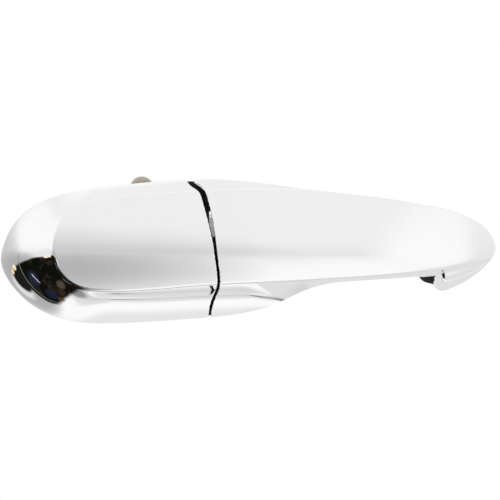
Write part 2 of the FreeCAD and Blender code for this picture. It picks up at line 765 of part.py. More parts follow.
def make_cap_screw_insert():
    """Threaded sleeve with a groove at mid-length."""
    bore, outer, length = dim.screwRadius + FIT, dim.insertOuter, dim.insertLength
    middle = length * 0.5
    profile = [
        (bore, 0), (outer - 0.4, 0), (outer - 0.4, 2.0), (outer, 2.4), (outer, middle - 1.0),
        (outer - 0.5, middle - 0.5), (outer - 0.5, middle + 0.5), (outer, middle + 1.0),
        (outer, length), (bore, length)]
    finish(turned("cap_screw_insert", "X", profile, (TONGUE[0][0], *SCREW_LINE)),
           "cap_screw_insert")


# ------------------------------------------------------------------ front gasket
# x, z; clockwise seen from outside
FRONT_GASKET = [
    (80.6, -6.0), (80.8, 4.0), (82.6, 11.6), (88.0, 15.6), (96.0, 15.8), (104.5, 12.6),
    (111.0, 9.0), (115.2, 4.6), (116.4, 0.8), (115.8, -3.2), (112.8, -7.2), (109.0, -10.3),
    (104.4, -13.2), (99.9, -15.6), (95.4, -17.0), (91.0, -17.0), (87.0, -16.0), (83.8, -15.0),
    (81.6, -12.6)]


def make_front_gasket():
    line = closed_curve(FRONT_GASKET, 60)
    # the opening is the outline shrunk to 70 % about (98, -1)
    opening = [(98 + (x - 98) * 0.70, -1 + (z + 1) * 0.70) for x, z in line]
    flat = slab(flat_face(line).cut(flat_face(opening)), -gasket, gasket)
    flat = flat.cut(Part.makeBox(10.2, 6, 11.0, Vector(102.6, -3, -4.5)))
    # a soft lip stands up beside the foot's rear edge
    lip = slab(ring_face(line, 0.3, 1.9), -4.2, 3.8)
    lip = lip.common(Part.makeBox(4.6, 6, 40, Vector(80.0, -5, -20)))
    finish(feature("front_gasket", flat.fuse(lip)), "front_gasket")


# ------------------------------------------------------------------ carrier
# x, z; clockwise seen from outside
CARRIER_OUTLINE = [
    (CARRIER_REAR, -17), (CARRIER_REAR, 12), (-96, 19), (-80, 24.5), (-20, 28.5), (20, 26.5),
    (60, 21.5), (88, 18.0), (104, 13.2), (115, 5.5), (115, -4.0), (106, -10.2), (90, -12.5),
    (60, -12), (36, -14), (14, -22), (-4, -27.5), (-40, -30), (-78, -31), (-96, -25)]
GRIP_OPENING = [(14, -9), (14, 17), (60, 14.5), (80, 12), (80, -7)]
REAR_OPENING = [(-66, -22), (-66, 16), (-40, 18), (-40, -22)]


def inset(points, distance):
    """Clockwise polygon with every side moved inwards by distance."""
    def normal(start, end):
        run, rise = end[0] - start[0], end[1] - start[1]
        length = math.hypot(run, rise)
        return (rise / length, -run / length)

    moved = []
    count = len(points)
    for i in range(count):
        corner = points[i]
        ax, az = normal(points[i - 1], corner)
        bx, bz = normal(corner, points[(i + 1) % count])
        scale = distance / (1 + ax * bx + az * bz)
        moved.append((corner[0] + (ax + bx) * scale, corner[1] + (az + bz) * scale))
    return moved


def carrier_bearings():
    """Lugs for the bellcrank's pin and cheeks for the hinge pin."""
    join = plate_inner - LAP
    parts = []
    for name, start in (("Rear", dim.lugRear), ("Front", dim.lugFront)):
        span = (start, start + dim.lugThick)
        parts.append(box("Lug" + name, span, (join, dim.crankY),
                         around(dim.crankZ, dim.lugRadius)))
        parts.append(cylinder("LugEye" + name, "X", CRANK, span, dim.lugRadius))
    for name, span in (("Upper", (hinge_z + cheek_inner, hinge_z + cheek_outer)),
                       ("Lower", (hinge_z - cheek_outer, hinge_z - cheek_inner))):
        parts.append(box("Cheek" + name, around(dim.hingeX, dim.cheekRadius),
                         (join, dim.hingeY), span))
        parts.append(cylinder("CheekEye" + name, "Z", HINGE, span, dim.cheekRadius))
    return parts


def carrier_cuts():
    cuts = [cylinder("LockHole", "X", SCREW_LINE, (-107, -100), dim.screwRadius + 0.4)]
    for i, stud in enumerate(STUDS):
        cuts += [cylinder("StudHeadRoom%d" % i, "Y", stud, (0.0, 4.2), 6.1),
                 cylinder("StudHole%d" % i, "Y", stud, (0.0, 12.0), dim.studShoulder + FIT),
                 cylinder("StudNutRoom%d" % i, "Y", stud, (10.0, 13.0), 5.2)]
    cuts += [
        cylinder("HingeHole", "Z", HINGE, (-12, 14), dim.pinRadius + FIT),
        cylinder("CrankHole", "X", CRANK, (-40, 12), dim.pinRadius + FIT),
        cylinder("StopHole", "Y", STOP, (plate_inner + 0.5, plate_inner + 4.0),
                 STOP_STEM + FIT),
        box("ArmRoom", (102.2, 113.6), (0.0, 17.0), (-4.5, 6.5)),
        cylinder("StopRoom", "Y", STOP, (stop_base, plate_inner + 8.0), 4.6),
        cylinder("HingeHeadRoom", "Z", HINGE, (hinge_z + cheek_outer, 15.0), 3.9),
        cylinder("HingeClipRoom", "Z", HINGE, (-14.0, hinge_z - cheek_outer), 4.7)]
    return cuts


def make_carrier_frame():
    join = plate_inner - LAP
    rim_top = plate_inner + dim.rimDepth
    pocket_depth = (join, 17.0)
    boss_depth = (4.2, 10.0)
    openings = [rectangle(LEG_OPENING), rectangle(TONGUE, 0.3), GRIP_OPENING,
                rectangle(ARM_OPENING), REAR_OPENING]
    parts = [
        prism("CarrierPlate", "Y", [CARRIER_OUTLINE] + openings, (plate_outer, plate_inner)),
        prism("CarrierRim", "Y", [CARRIER_OUTLINE, inset(CARRIER_OUTLINE, dim.rimWall.value)],
              (join, rim_top))]
    parts += carrier_bearings()
    parts += [
        box("ShutWall", (CARRIER_REAR, -101.5), (plate_outer, 20.0), (-8.0, 8.0)),
        # walls round the cap's tongue
        box("PocketUpper", (-102.0, -69.5), pocket_depth, (9.4, 11.6)),
        box("PocketLower", (-102.0, -69.5), pocket_depth, (-11.6, -9.4)),
        box("PocketEnd", (-71.6, -69.5), pocket_depth, (-11.6, 11.6)),
        box("RibMid", (-48.0, -45.8), (plate_outer, rim_top), (-28.5, 24.5)),
        box("RibRear", (-30.0, -27.8), (plate_outer, rim_top), (-26.5, 2.0)),
        box("StudWeb", (-54.0, -47.6), boss_depth, (20.0, 29.5)),
        cylinder("StopBoss", "Y", STOP, (join, stop_base), 5.4),
        cylinder("LocatingPeg", "Y", (0, 0), (0, plate_outer + 0.2), dim.pegRadius)]
    parts += cylinders("StudBoss", "Y", STUDS, boss_depth, 5.0)
    finish(cut("carrier_frame", fuse("CarrierSolid", parts), carrier_cuts()), "carrier_frame")


def make_carrier_seals():
    """Foam rings round three of the carrier's openings, between skin and plate."""
    def foam(name, outer, inner):
        return prism(name, "Y", [rectangle(outer), inner], (dim.skinThick, plate_outer))

    tongue = foam("SealTongue", ((-102.4, -67.5), (-12.8, 12.8)), rectangle(TONGUE, 0.6))
    leg = foam("SealLegRing", ((-26.0, 6.0), (-4.2, 26.0)), rectangle(LEG_OPENING, 0.3))
    peg_room = cylinder("PegRoom", "Y", (0, 0), (0, 4), dim.pegRadius + 1.2)
    arm = foam("SealArm", ((99.6, 114.4), (-6.6, 8.6)), rectangle(ARM_OPENING, 0.2, 0.3))
    group("carrier_seals", [tongue, cut("SealLeg", leg, [peg_room]), arm])


def make_mount_studs():
    head, head_thick = dim.studHead, dim.studHeadThick
    radius, length = dim.studRadius, dim.studLength
    shoulder, shoulder_end = dim.studShoulder, 7.8
    profile = [
        (0, 0), (head - 0.9, 0), (head, 0.9), (head, head_thick), (shoulder, head_thick),
        (shoulder, shoulder_end), (radius, shoulder_end), (radius, length - 0.8),
        (radius - 0.8, length), (0, length)]
    turned_group("mount_studs", "MountStud", "Y", profile, [(x, 2.2, z) for x, z in STUDS],
                 (2.0, 1.6))


def pin_profile(grip):
    """Headed pin; grip is from the head's underside to the clip groove."""
    head, radius, groove = dim.headThick, dim.pinRadius, dim.grooveRadius
    groove_start = head + (grip + 0.05)
    groove_end = groove_start + dim.clipThick + 0.1
    end = head + (grip + 1.6)
    return [
        (0, 0), (dim.headRadius - 0.4, 0), (dim.headRadius, 0.4), (dim.headRadius, head),
        (radius, head), (radius, groove_start), (groove, groove_start), (groove, groove_end),
        (radius, groove_end), (radius, end - 0.3), (radius - 0.3, end), (0, end)]


def make_hinge_pin():
    head_top = hinge_z + cheek_outer + dim.headThick
    finish(turned("hinge_pin", "-Z", pin_profile(cheek_outer * 2), (*HINGE, head_top)),
           "hinge_pin")


def make_bellcrank_pin():
    grip = dim.lugFront + dim.lugThick - dim.lugRear
    finish(turned("bellcrank_pin", "X", pin_profile(grip),
                  (dim.lugRear - dim.headThick, *CRANK)), "bellcrank_pin")


def clip_ring(name, axis, centre, start):
    """Retaining ring: an open washer in the pin's groove."""
    disc = prism(name + "Disc", axis, [], (start, start + dim.clipThick),
                 [(0, 0, dim.clipRadius), (0, 0, dim.grooveRadius + FIT)])
    first, second = centre
    slot_half, slot_length = 1.7, 8
    along = (start - 1, start + 3)
    if axis == "Z":
        place(disc, (first, second, 0), PRISM_TURN[axis])
        slot = box(name + "Slot", around(first, slot_half), (second, second + slot_length), along)
    else:
        place(disc, (0, first, second), PRISM_TURN[axis])
        slot = box(name + "Slot", along, (first, first + slot_length), around(second, slot_half))
    return cut(name, disc, [slot])


def make_pin_clips():
    group("pin_clips", [
        clip_ring("HingeClip", "Z", HINGE, hinge_z - cheek_outer - dim.clipThick - 0.1),
        clip_ring("CrankClip", "X", CRANK, dim.lugFront + dim.lugThick + 0.1)])


def make_bump_stop():
    """Rubber buffer under the counterweight, with a stem in the carrier."""
    length = WEIGHT[0] - dim.weightRadius - 0.05 - stop_base
    profile = [(0, -2.4), (STOP_STEM, -2.4), (STOP_STEM, 0), (4.2, 0), (4.2, length - 1.5),
               (3.0, length), (0, length)]
    finish(turned("bump_stop", "Y", profile, (STOP[0], stop_base, STOP[1])), "bump_stop")


def make_leg_guide():
    """Low-friction frame in the carrier's leg opening, with a lip on the plate's inner face."""
    window = rectangle(((-18.6, -2.6), (6.3, 18.4)))
    end = plate_inner + 1.4
    frame = prism("GuideBody", "Y", [rectangle(LEG_OPENING, -0.1), window], (plate_outer, end))
    lip = prism("GuideLip", "Y", [rectangle(LEG_OPENING, 0.6, 0.8), window],
                (plate_inner + 0.05, end))
    finish(fuse("leg_guide", [frame, lip]), "leg_guide")


# ------------------------------------------------------------------ strap
def make_strap_shell():
    finish(feature("strap_shell", half_form(STRAP)[1]), "strap_shell")


def make_grip_back_cover():
    """Sheet that follows the strap's back face, trimmed to the cavity."""
    stations = [16.0 + i * 3.0 for i in range(24)]
    back_points = [Vector(x, -back(x), 0) for x in stations]
    front_points = [Vector(x, -back(x) - dim.backWall.value, 0) for x in stations]
    back_curve, front_curve = Part.BSplineCurve(), Part.BSplineCurve()
    back_curve.interpolate(back_points)
    front_curve.interpolate(front_points)
    face = Part.Face(Part.Wire([
        back_curve.toShape(), Part.makeLine(back_points[-1], front_points[-1]),
        front_curve.toShape(), Part.makeLine(front_points[0], back_points[0])]))
    face.translate(Vector(0, 0, -45))
    blank = feature("CoverBlank", face.extrude(Vector(0, 0, 90)).common(cavity_fit))
    cuts = []
    for i, spot in enumerate(GRIP_SCREWS):
        cuts.append(cylinder("CoverHole%d" % i, "Y", spot, (-40, 0), dim.smallShank + LOOSE))
        cuts.append(cylinder("CoverSink%d" % i, "Y", spot, (-dim.gripBack - 2.0, -5),
                             dim.smallHead + 0.2))
    finish(cut("grip_back_cover", blank, cuts), "grip_back_cover")


def make_strap_screws():
    turned_group("strap_screws", "StrapScrew", "-Y", SMALL_SCREW,
                 [(x, -dim.gripBack - 0.2, z) for x, z in GRIP_SCREWS], SMALL_SOCKET)


# x, y
CORE_OUTLINE = [
    (-10.5, -27.5), (15, -30.2), (44, -30.5), (72, -27.0), (91, -20.6), (103, -12.6),
    (108.5, -7.0), (110, -4.0), (110, 11), (104, 11), (104, -5.0), (100, -8.6), (90, -14.6),
    (80, -23.8), (44, -24.6), (10, -24.6), (-10.5, -22.5)]
LEG_RIB = [(-5.0, -23.0), (12.0, -25.0), (12.0, -26.5), (-5.0, -26.5)]


def make_strap_core():
    """Beam along the grip, with the hinge barrel in front and the leg at the rear."""
    across = around(hinge_z, barrel_half)
    leg_x, half_leg = dim.legX, dim.legWidth * 0.5
    leg_height = (dim.legLow, dim.legHigh)
    parts = [
        prism("CoreBeam", "Z", [CORE_OUTLINE], across),
        cylinder("CoreBarrel", "Z", HINGE, across, dim.barrelRadius),
        box("CoreLeg", around(leg_x, half_leg), (-27.0, 16.0), leg_height),
        box("CoreLegTip", (leg_x - half_leg, leg_x), (15.9, 29.0), leg_height),
        box("CoreLegRoot", (-11.3, leg_x + half_leg), (-27.0, -22.5), (0.0, dim.legLow + 0.1)),
        prism("CoreLegRib", "Z", [LEG_RIB], (5.0, 9.0))]
    cuts = [cylinder("BarrelBore", "Z", HINGE, (-10, 12), dim.bushOuter + FIT)]
    cuts += cylinders("CoreScrewHole", "Y", GRIP_SCREWS, (-29.4, -20), dim.smallShank + FIT)
    cuts += cylinders("CoreRivetHole", "X", RIVETS, (-15, 0), RIVET_RADIUS + FIT)
    finish(cut("strap_core", fuse("CoreSolid", parts), cuts), "strap_core")


def make_hinge_bushes():
    bore, outer, flange = dim.pinRadius + dim.runGap, dim.bushOuter, dim.bushFlange
    flange_radius = 4.9
    end = flange + 4.2
    profile = [(bore, 0), (flange_radius, 0), (flange_radius, flange), (outer, flange),
               (outer, end), (bore, end)]
    group("hinge_bushes", [
        turned("HingeBushUpper", "-Z", profile, (*HINGE, hinge_z + bush_half)),
        turned("HingeBushLower", "Z", profile, (*HINGE, hinge_z - bush_half))])


def make_rear_foot_pad():
    """Thin pad under the strap's rear end."""
    pad = slab(ring_face(seal_line, 1.2, 6.0), -0.78, 0.70)
    pad = pad.common(beside_gap(STRAP, 1.2, -3, 3))
    pad = pad.common(Part.makeBox(60, 6, 90, Vector(-54.5, -3, -45)))
    finish(feature("rear_foot_pad", pad), "rear_foot_pad")


def make_draw_hook():
    """Hook on the strap's leg, open at the top, that pulls the lever's roller."""
    y, z = FINGER
    mouth = dim.rollerRadius + dim.hookPlay
    top = 22.5
    outline = [
        (16.1, 7.2), (16.1, 16.8), (31.6, 16.8), (33.6, top), (y - mouth, top),
        (y - mouth, 12.4), (y - 2.0, z - mouth), (y + 2.0, z - mouth), (y + mouth, 12.4),
        (y + mouth, top), (y + mouth + 3.6, top), (y + mouth + 3.6, 9.0), (y + 3.0, 5.0),
        (y - 6.0, 5.0), (30.0, 7.2)]
    start = dim.legX + 0.05
    plate = prism("HookPlate", "X", [outline], (start, start + dim.hookThick))
    holes = cylinders("HookRivetHole", "X", RIVETS, (-10, 0), RIVET_RADIUS + FIT)
    finish(cut("draw_hook", plate, holes), "draw_hook")


def make_hook_rivets():
    shank = RIVET_RADIUS
    profile = [(0, 0), (1.6, 0), (2.4, 0.5), (2.4, 1.1), (shank, 1.1), (shank, 9.2),
               (2.2, 9.2), (2.2, 9.8), (1.5, 10.2), (0, 10.2)]
    start = dim.legX - dim.legWidth * 0.5 - 1.12
    turned_group("hook_rivets", "HookRivet", "X", profile, [(start, y, z) for y, z in RIVETS])


# ------------------------------------------------------------------ bellcrank
def arm(name, start, thickness, reach, half_widths):
    """Tapered arm normal to X, from the crank's axis to an eye at the (dy, dz) reach from it."""
    span = (start, start + thickness)
    y0, z0 = dim.crankY.value, dim.crankZ.value
    y1, z1 = y0 + reach[0], z0 + reach[1]
    run, rise = y1 - y0, z1 - z0
    length = math.hypot(run, rise)
    ny, nz = -rise / length, run / length
    root, tip = half_widths
    outline = [(y0 + ny * root, z0 + nz * root), (y1 + ny * tip, z1 + nz * tip),
               (y1 - ny * tip, z1 - nz * tip), (y0 - ny * root, z0 - nz * root)]
    return [prism(name, "X", [outline], span),
            cylinder(name + "Eye", "X", (y1, z1), span, tip)]


def make_bellcrank():
    to_finger = (dim.fingerReachY.value, dim.fingerReachZ.value)
    to_weight = (-dim.weightShift.value, -dim.weightDrop.value)
    to_output = (dim.outY.value, dim.outZ.value)
    parts = [
        cylinder("CrankHub", "X", CRANK,
                 (dim.lugRear + dim.lugThick + 0.3, dim.lugFront - 0.3), dim.hubRadius),
        cylinder("FingerPin", "X", FINGER, (LEVER_X + 1.0, dim.forkFront + 1.0),
                 dim.fingerRadius)]
    parts += arm("LeverRear", LEVER_X, dim.leverThick, to_finger, (4.6, 3.9))
    parts += arm("LeverFront", dim.forkFront, 3.4, to_finger, (4.6, 3.9))
    parts += arm("WeightPlate", LEVER_X, dim.leverThick, to_weight, (4.4, 4.4))
    parts += arm("OutArm", dim.outRear, dim.outThick, to_output, (4.0, 4.0))
    cuts = [
        cylinder("HubBore", "X", CRANK, (-40, 10), dim.pinRadius + dim.runGap),
        cylinder("WeightRivetHole", "X", WEIGHT, (-22, -14), RIVET_RADIUS + FIT),
        cylinder("OutEye", "X", OUT_EYE, (-32, -22), dim.stubRadius + dim.runGap)]
    finish(cut("bellcrank", fuse("CrankSolid", parts), cuts), "bellcrank")


def make_finger_roller():
    bore, radius, length = dim.fingerRadius + dim.runGap, dim.rollerRadius, 14.0
    profile = [(bore, 0), (radius - 0.5, 0), (radius, 0.5), (radius, length - 0.5),
               (radius - 0.5, length), (bore, length)]
    start = LEVER_X + dim.leverThick + 0.2
    finish(turned("finger_roller", "X", profile, (start, *FINGER)), "finger_roller")


def make_counterweight():
    bore, radius, length = RIVET_RADIUS + FIT, dim.weightRadius, 10.1
    profile = [(bore, 0), (radius - 0.8, 0), (radius, 0.8), (radius, length - 0.5),
               (radius - 0.5, length), (bore, length)]
    finish(turned("counterweight", "X", profile, (WEIGHT_X, *WEIGHT)), "counterweight")


def make_counterweight_rivet():
    shank = RIVET_RADIUS
    profile = [(0, 0), (1.8, 0), (2.6, 0.6), (2.6, 1.2), (shank, 1.2), (shank, 16.0),
               (2.4, 16.0), (2.4, 16.6), (1.6, 17.1), (0, 17.1)]
    finish(turned("counterweight_rivet", "X", profile, (WEIGHT_X - 1.22, *WEIGHT)),
           "counterweight_rivet")


def make_return_spring():
    """Torsion spring on the hub: one leg on the carrier plate, one behind the front lever arm.
    Built about local z, with local x, y, z laid on Y, Z, X."""
    coil_radius, wire, pitch = dim.coilRadius.value, dim.wireRadius.value, dim.coilPitch.value
    start_angle, end_angle = 90.0, 148.0 - 5 * 360.0
    length = (start_angle - end_angle) / 360.0 * pitch
    helix = Part.makeHelix(pitch, length, coil_radius, 0, True)
    circle = Part.Wire([Part.makeCircle(wire, Vector(coil_radius, 0, 0), Vector(0, 1, 0))])
    coil = Part.Wire(helix.Edges).makePipeShell([circle], True, True)
    coil.rotate(Vector(), Vector(0, 0, 1), start_angle)

    plate_leg = Part.makeCylinder(wire, (dim.crankY - plate_inner).value - 0.2,
                                  Vector(0, coil_radius, 0), Vector(-1, 0, 0))
    angle = math.radians(end_angle)
    leg_start = Vector(coil_radius * math.cos(angle), coil_radius * math.sin(angle), length)
    direction = Vector(math.sin(angle), -math.cos(angle), 0)
    leg_length, bend_length = 12.5, 6.5
    lever_leg = Part.makeCylinder(wire, leg_length, leg_start, direction)
    bend = leg_start + direction * leg_length
    bent_end = Part.makeCylinder(wire, bend_length, bend, Vector(0, 0, 1))
    bent_end = bent_end.fuse(Part.makeSphere(wire, bend))
    spring = feature("return_spring", coil.fuse([plate_leg, lever_leg, bent_end]))
    place(spring, (-14.6, dim.crankY.value, dim.crankZ.value), PRISM_TURN["X"])
    finish(spring, "return_spring")


def make_rod_clip():
    """Clip with a stub in the lever's output eye and a socket for the latch rod along Z."""
    y, z = OUT_EYE
    half_width = 4.2
    span = (-38.0, -30.0)
    top = z + 4.5
    arm_end = dim.outRear + dim.outThick
    parts = [
        box("ClipBody", span, around(y, half_width), (z - 8.5, top)),
        cylinder("ClipRound", "X", (y, top), span, half_width),
        cylinder("ClipStub", "X", OUT_EYE, (-31.0, arm_end + 0.3), dim.stubRadius),
        cylinder("ClipSnap", "X", OUT_EYE, (arm_end + 0.2, arm_end + 1.3),
                 dim.stubRadius + 0.5)]
    socket = cylinder("RodSocket", "Z", (-34.0, y), (z - 10.0, z + 3.5), dim.rodRadius)
    finish(cut("rod_clip", fuse("ClipSolid", parts), [socket]), "rod_clip")


# ------------------------------------------------------------------ build and export
for make in (
        make_end_cap_shell, make_strap_shell, make_end_cap_base, make_cap_base_screws,
        make_cap_gasket, make_front_gasket, make_carrier_frame, make_carrier_seals,
        make_mount_studs, make_cap_lock_screw, make_cap_screw_insert, make_hinge_pin,
        make_bellcrank_pin, make_pin_clips, make_bump_stop, make_leg_guide,
        make_grip_back_cover, make_strap_screws, make_strap_core, make_hinge_bushes,
        make_rear_foot_pad, make_draw_hook, make_hook_rivets, make_bellcrank,
        make_finger_roller, make_counterweight, make_counterweight_rivet, make_return_spring,
        make_rod_clip):
    make()

doc.recompute()
bad = [obj.Name for obj in doc.Objects if "Invalid" in obj.State or "Error" in obj.State]
assert not bad, "failed objects: %s" % bad
os.makedirs("parts", exist_ok=True)
for obj in finished:
    shape = obj.Shape
    assert not shape.isNull() and shape.isValid(), obj.Label + " has no valid shape"
    assert shape.Solids, obj.Label + " has no solid"
    shape.exportStep("parts/" + obj.Label + ".step")
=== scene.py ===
"""Chrome handle with a separate end cap, its return spring, and looks for its CAD pieces.

The handle runs along X with the end cap at -X and the strap towards +X. Z is up, and the
handle stands out of the skin towards -Y, the side the camera is on. Shapes are worked out
in millimetres as (x, h, z), where h is the height above the skin; the scene is in metres.
"""
import bpy
import itertools
import json
import math
import numpy as np
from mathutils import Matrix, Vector


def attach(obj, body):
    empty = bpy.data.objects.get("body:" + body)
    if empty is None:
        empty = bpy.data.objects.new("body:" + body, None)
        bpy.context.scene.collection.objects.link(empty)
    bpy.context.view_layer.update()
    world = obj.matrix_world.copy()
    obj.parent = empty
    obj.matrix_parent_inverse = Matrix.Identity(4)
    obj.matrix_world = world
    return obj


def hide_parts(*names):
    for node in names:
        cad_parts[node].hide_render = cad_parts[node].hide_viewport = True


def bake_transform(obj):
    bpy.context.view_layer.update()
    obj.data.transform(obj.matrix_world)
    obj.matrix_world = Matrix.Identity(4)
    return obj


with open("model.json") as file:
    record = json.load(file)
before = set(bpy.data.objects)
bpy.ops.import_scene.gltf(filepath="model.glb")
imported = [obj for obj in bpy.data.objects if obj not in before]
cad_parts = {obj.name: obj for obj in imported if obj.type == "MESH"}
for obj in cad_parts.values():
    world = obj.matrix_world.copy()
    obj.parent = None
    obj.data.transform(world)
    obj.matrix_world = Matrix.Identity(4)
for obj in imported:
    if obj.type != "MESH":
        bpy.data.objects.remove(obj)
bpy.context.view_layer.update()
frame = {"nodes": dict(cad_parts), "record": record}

MM = 0.001


def add_object(name, data):
    ob = bpy.data.objects.new(name, data)
    bpy.context.scene.collection.objects.link(ob)
    return ob


# ==========================================================================================
# 1. Outlines and height line of the handle, mm
# ==========================================================================================
# (x, z) round the whole handle at the skin
OUTLINE = [
    (-117.8, -3.8), (-116.4, 2.4), (-113.5, 9.3), (-109.2, 15.3), (-103.5, 20.4), (-94.0, 24.9),
    (-79.8, 28.5), (-60.8, 31.1), (-41.8, 32.9), (-20.4, 33.9), (-3.8, 33.0), (15.2, 30.9),
    (34.2, 28.6), (53.2, 26.5), (72.2, 24.0), (86.5, 21.3), (98.3, 18.3), (107.8, 14.3),
    (114.0, 9.8), (117.1, 4.6), (118.0, 0.0), (116.6, -3.2), (113.2, -5.8), (107.8, -8.4),
    (98.3, -11.1), (86.5, -12.9), (72.2, -14.0), (53.2, -15.2), (41.3, -16.2), (34.2, -17.6),
    (24.7, -20.9), (15.2, -24.8), (5.7, -28.2), (-3.8, -30.4), (-22.8, -32.5), (-41.8, -33.9),
    (-60.8, -34.9), (-72.7, -35.0), (-84.5, -33.8), (-94.0, -31.0), (-103.5, -25.8),
    (-109.2, -20.7), (-113.8, -15.0), (-116.6, -9.8)]
# (x, z) round the raised top face
CROWN = [
    (-92.6, 1.4), (-91.5, 8.6), (-88.4, 14.9), (-81.6, 20.4), (-70.3, 24.2), (-56.0, 26.0),
    (-41.8, 26.9), (-27.5, 27.9), (-15.7, 28.5), (0.9, 28.9), (20.0, 28.9), (40.0, 28.6),
    (60.0, 27.6), (80.0, 25.2), (98.0, 21.0), (110.0, 16.0), (118.0, 9.0), (121.0, 2.0),
    (118.5, -2.4), (111.0, -5.0), (98.3, -7.9), (81.7, -10.3), (62.7, -12.0), (43.7, -13.2),
    (24.7, -14.3), (5.7, -15.3), (-13.3, -16.3), (-27.5, -17.3), (-41.8, -18.6), (-56.0, -19.6),
    (-70.3, -19.6), (-81.2, -17.4), (-88.0, -12.0), (-91.6, -5.2)]
# (x, z) round the foot under the strap's +X end
FOOT = [
    (86.6, -5.0), (86.6, 5.0), (87.6, 13.0), (91.0, 17.2), (98.0, 16.8), (106.0, 13.2),
    (112.0, 9.6), (116.2, 5.0), (117.6, 1.0), (117.2, -3.4), (114.0, -7.7), (110.2, -10.9),
    (105.4, -14.1), (100.7, -16.7), (95.9, -18.8), (92.1, -19.7), (89.5, -18.6), (87.8, -15.7),
    (86.9, -12.0)]
# (x, z) down the middle of the gap between cap and strap, top to bottom
GAP = [
    (-29.8, 36.5), (-28.5, 34.0), (-26.4, 31.4), (-23.5, 29.5), (-21.3, 26.9), (-19.9, 22.6),
    (-18.0, 15.2), (-16.3, 7.1), (-15.0, -2.4), (-14.1, -9.5), (-13.7, -14.2), (-14.2, -17.8),
    (-15.8, -21.8), (-17.4, -26.1), (-18.1, -30.0), (-18.3, -36.5)]
# (x, h) along the top's ridge
CREST = [
    (-118, 18.6), (-104, 20.6), (-92, 22.6), (-76, 25.3), (-60, 27.8), (-40, 30.6), (-15.7, 33.5),
    (15.2, 36.2), (43.7, 36.8), (72.2, 33.2), (91.2, 26.4), (105.5, 17.8), (113, 10.8), (118, 5.6)]


class Cubic:
    """Natural cubic spline."""

    def __init__(self, xs, ys):
        xs, ys = np.array(xs, float), np.array(ys, float)
        n = len(xs)
        h = np.diff(xs)
        matrix = np.eye(n)
        right = np.zeros(n)
        for i in range(1, n - 1):
            matrix[i, i - 1:i + 2] = h[i - 1], 2 * (h[i - 1] + h[i]), h[i]
            right[i] = 6 * ((ys[i + 1] - ys[i]) / h[i] - (ys[i] - ys[i - 1]) / h[i - 1])
        self.bend = np.linalg.solve(matrix, right)
        self.x, self.y, self.h = xs, ys, h

    def __call__(self, x):
        x = np.clip(np.asarray(x, float), self.x[0], self.x[-1])
        i = np.clip(np.searchsorted(self.x, x) - 1, 0, len(self.h) - 1)
        after, before, h = x - self.x[i], self.x[i + 1] - x, self.h[i]
        m0, m1 = self.bend[i], self.bend[i + 1]
        return ((m0 * before ** 3 + m1 * after ** 3) / (6 * h)
                + (self.y[i] / h - m0 * h / 6) * before
                + (self.y[i + 1] / h - m1 * h / 6) * after)


def curve(points, count, closed=True):
    """Smooth curve through the points; a closed one overlaps itself to join smoothly."""
    lead = 6
    p = np.array(points[-lead:] + points + points[:lead + 1] if closed else points, float)
    run = np.concatenate([[0], np.cumsum(np.hypot(*np.diff(p, axis=0).T))])
    if closed:
        t = run[lead] + (run[lead + len(points)] - run[lead]) * np.arange(count) / count
    else:
        t = np.linspace(0, run[-1], count)
    return np.stack([Cubic(run, p[:, 0])(t), Cubic(run, p[:, 1])(t)], 1)


# Grid of the distance maps: first corner, spacing (mm), and counts for a grid centred on 0
MAP_X, MAP_Z, MAP_STEP = -128.0, -48.0, 0.5
MAP_NX = int(-2 * MAP_X / MAP_STEP) + 1
MAP_NZ = int(-2 * MAP_Z / MAP_STEP) + 1


def distance_map(line, smooth, closed=True):
    """Blurred signed distance to a curve: negative inside, or right of an open curve."""
    axes = MAP_X + MAP_STEP * np.arange(MAP_NX), MAP_Z + MAP_STEP * np.arange(MAP_NZ)
    p = np.stack(np.meshgrid(*axes, indexing="ij"), -1).reshape(-1, 2)
    starts = line if closed else line[:-1]
    edges = (np.roll(line, -1, 0) if closed else line[1:]) - starts
    best = np.full(len(p), 1e18)
    side = np.zeros(len(p))
    crossings = np.zeros(len(p), int)
    for a, e in zip(starts, edges):
        w = p - a
        t = np.clip((w @ e) / (e @ e), 0, 1)
        square = ((w - t[:, None] * e) ** 2).sum(1)
        nearer = square < best
        best[nearer] = square[nearer]
        if closed:
            spans = (a[1] > p[:, 1]) != ((a + e)[1] > p[:, 1])
            cross_x = a[0] + (p[:, 1] - a[1]) * (e[0] / (e[1] if e[1] else 1e-12))
            crossings += (spans & (p[:, 0] < cross_x)).astype(int)
        else:
            side[nearer] = (e[0] * w[:, 1] - e[1] * w[:, 0])[nearer]
    negative = crossings % 2 == 1 if closed else side <= 0
    dist = (np.sqrt(best) * np.where(negative, -1.0, 1.0)).reshape(MAP_NX, MAP_NZ)
    reach = int(3 * smooth / MAP_STEP) + 1
    kernel = np.exp(-0.5 * (np.arange(-reach, reach + 1) * MAP_STEP / smooth) ** 2)
    kernel /= kernel.sum()
    for axis, count in enumerate((MAP_NX, MAP_NZ)):
        pad = [(reach, reach) if i == axis else (0, 0) for i in (0, 1)]
        wide = np.pad(dist, pad, mode="reflect", reflect_type="odd")
        dist = sum(k * np.take(wide, np.arange(i, i + count), axis)
                   for i, k in enumerate(kernel))
    return dist


def spline_weights(f):
    return ((1 - f) ** 3 / 6, (3 * f ** 3 - 6 * f ** 2 + 4) / 6,
            (-3 * f ** 3 + 3 * f ** 2 + 3 * f + 1) / 6, f ** 3 / 6)


def look(table, x, z):
    """Cubic B-spline reading of a map, smooth to its second derivative."""
    u, v = (x - MAP_X) / MAP_STEP, (z - MAP_Z) / MAP_STEP
    i = np.clip(np.floor(u).astype(int), 1, MAP_NX - 3)
    j = np.clip(np.floor(v).astype(int), 1, MAP_NZ - 3)
    out = 0
    for a, wu in enumerate(spline_weights(u - i)):
        for b, wv in enumerate(spline_weights(v - j)):
            out = out + wu * wv * table[i + a - 1, j + b - 1]
    return out


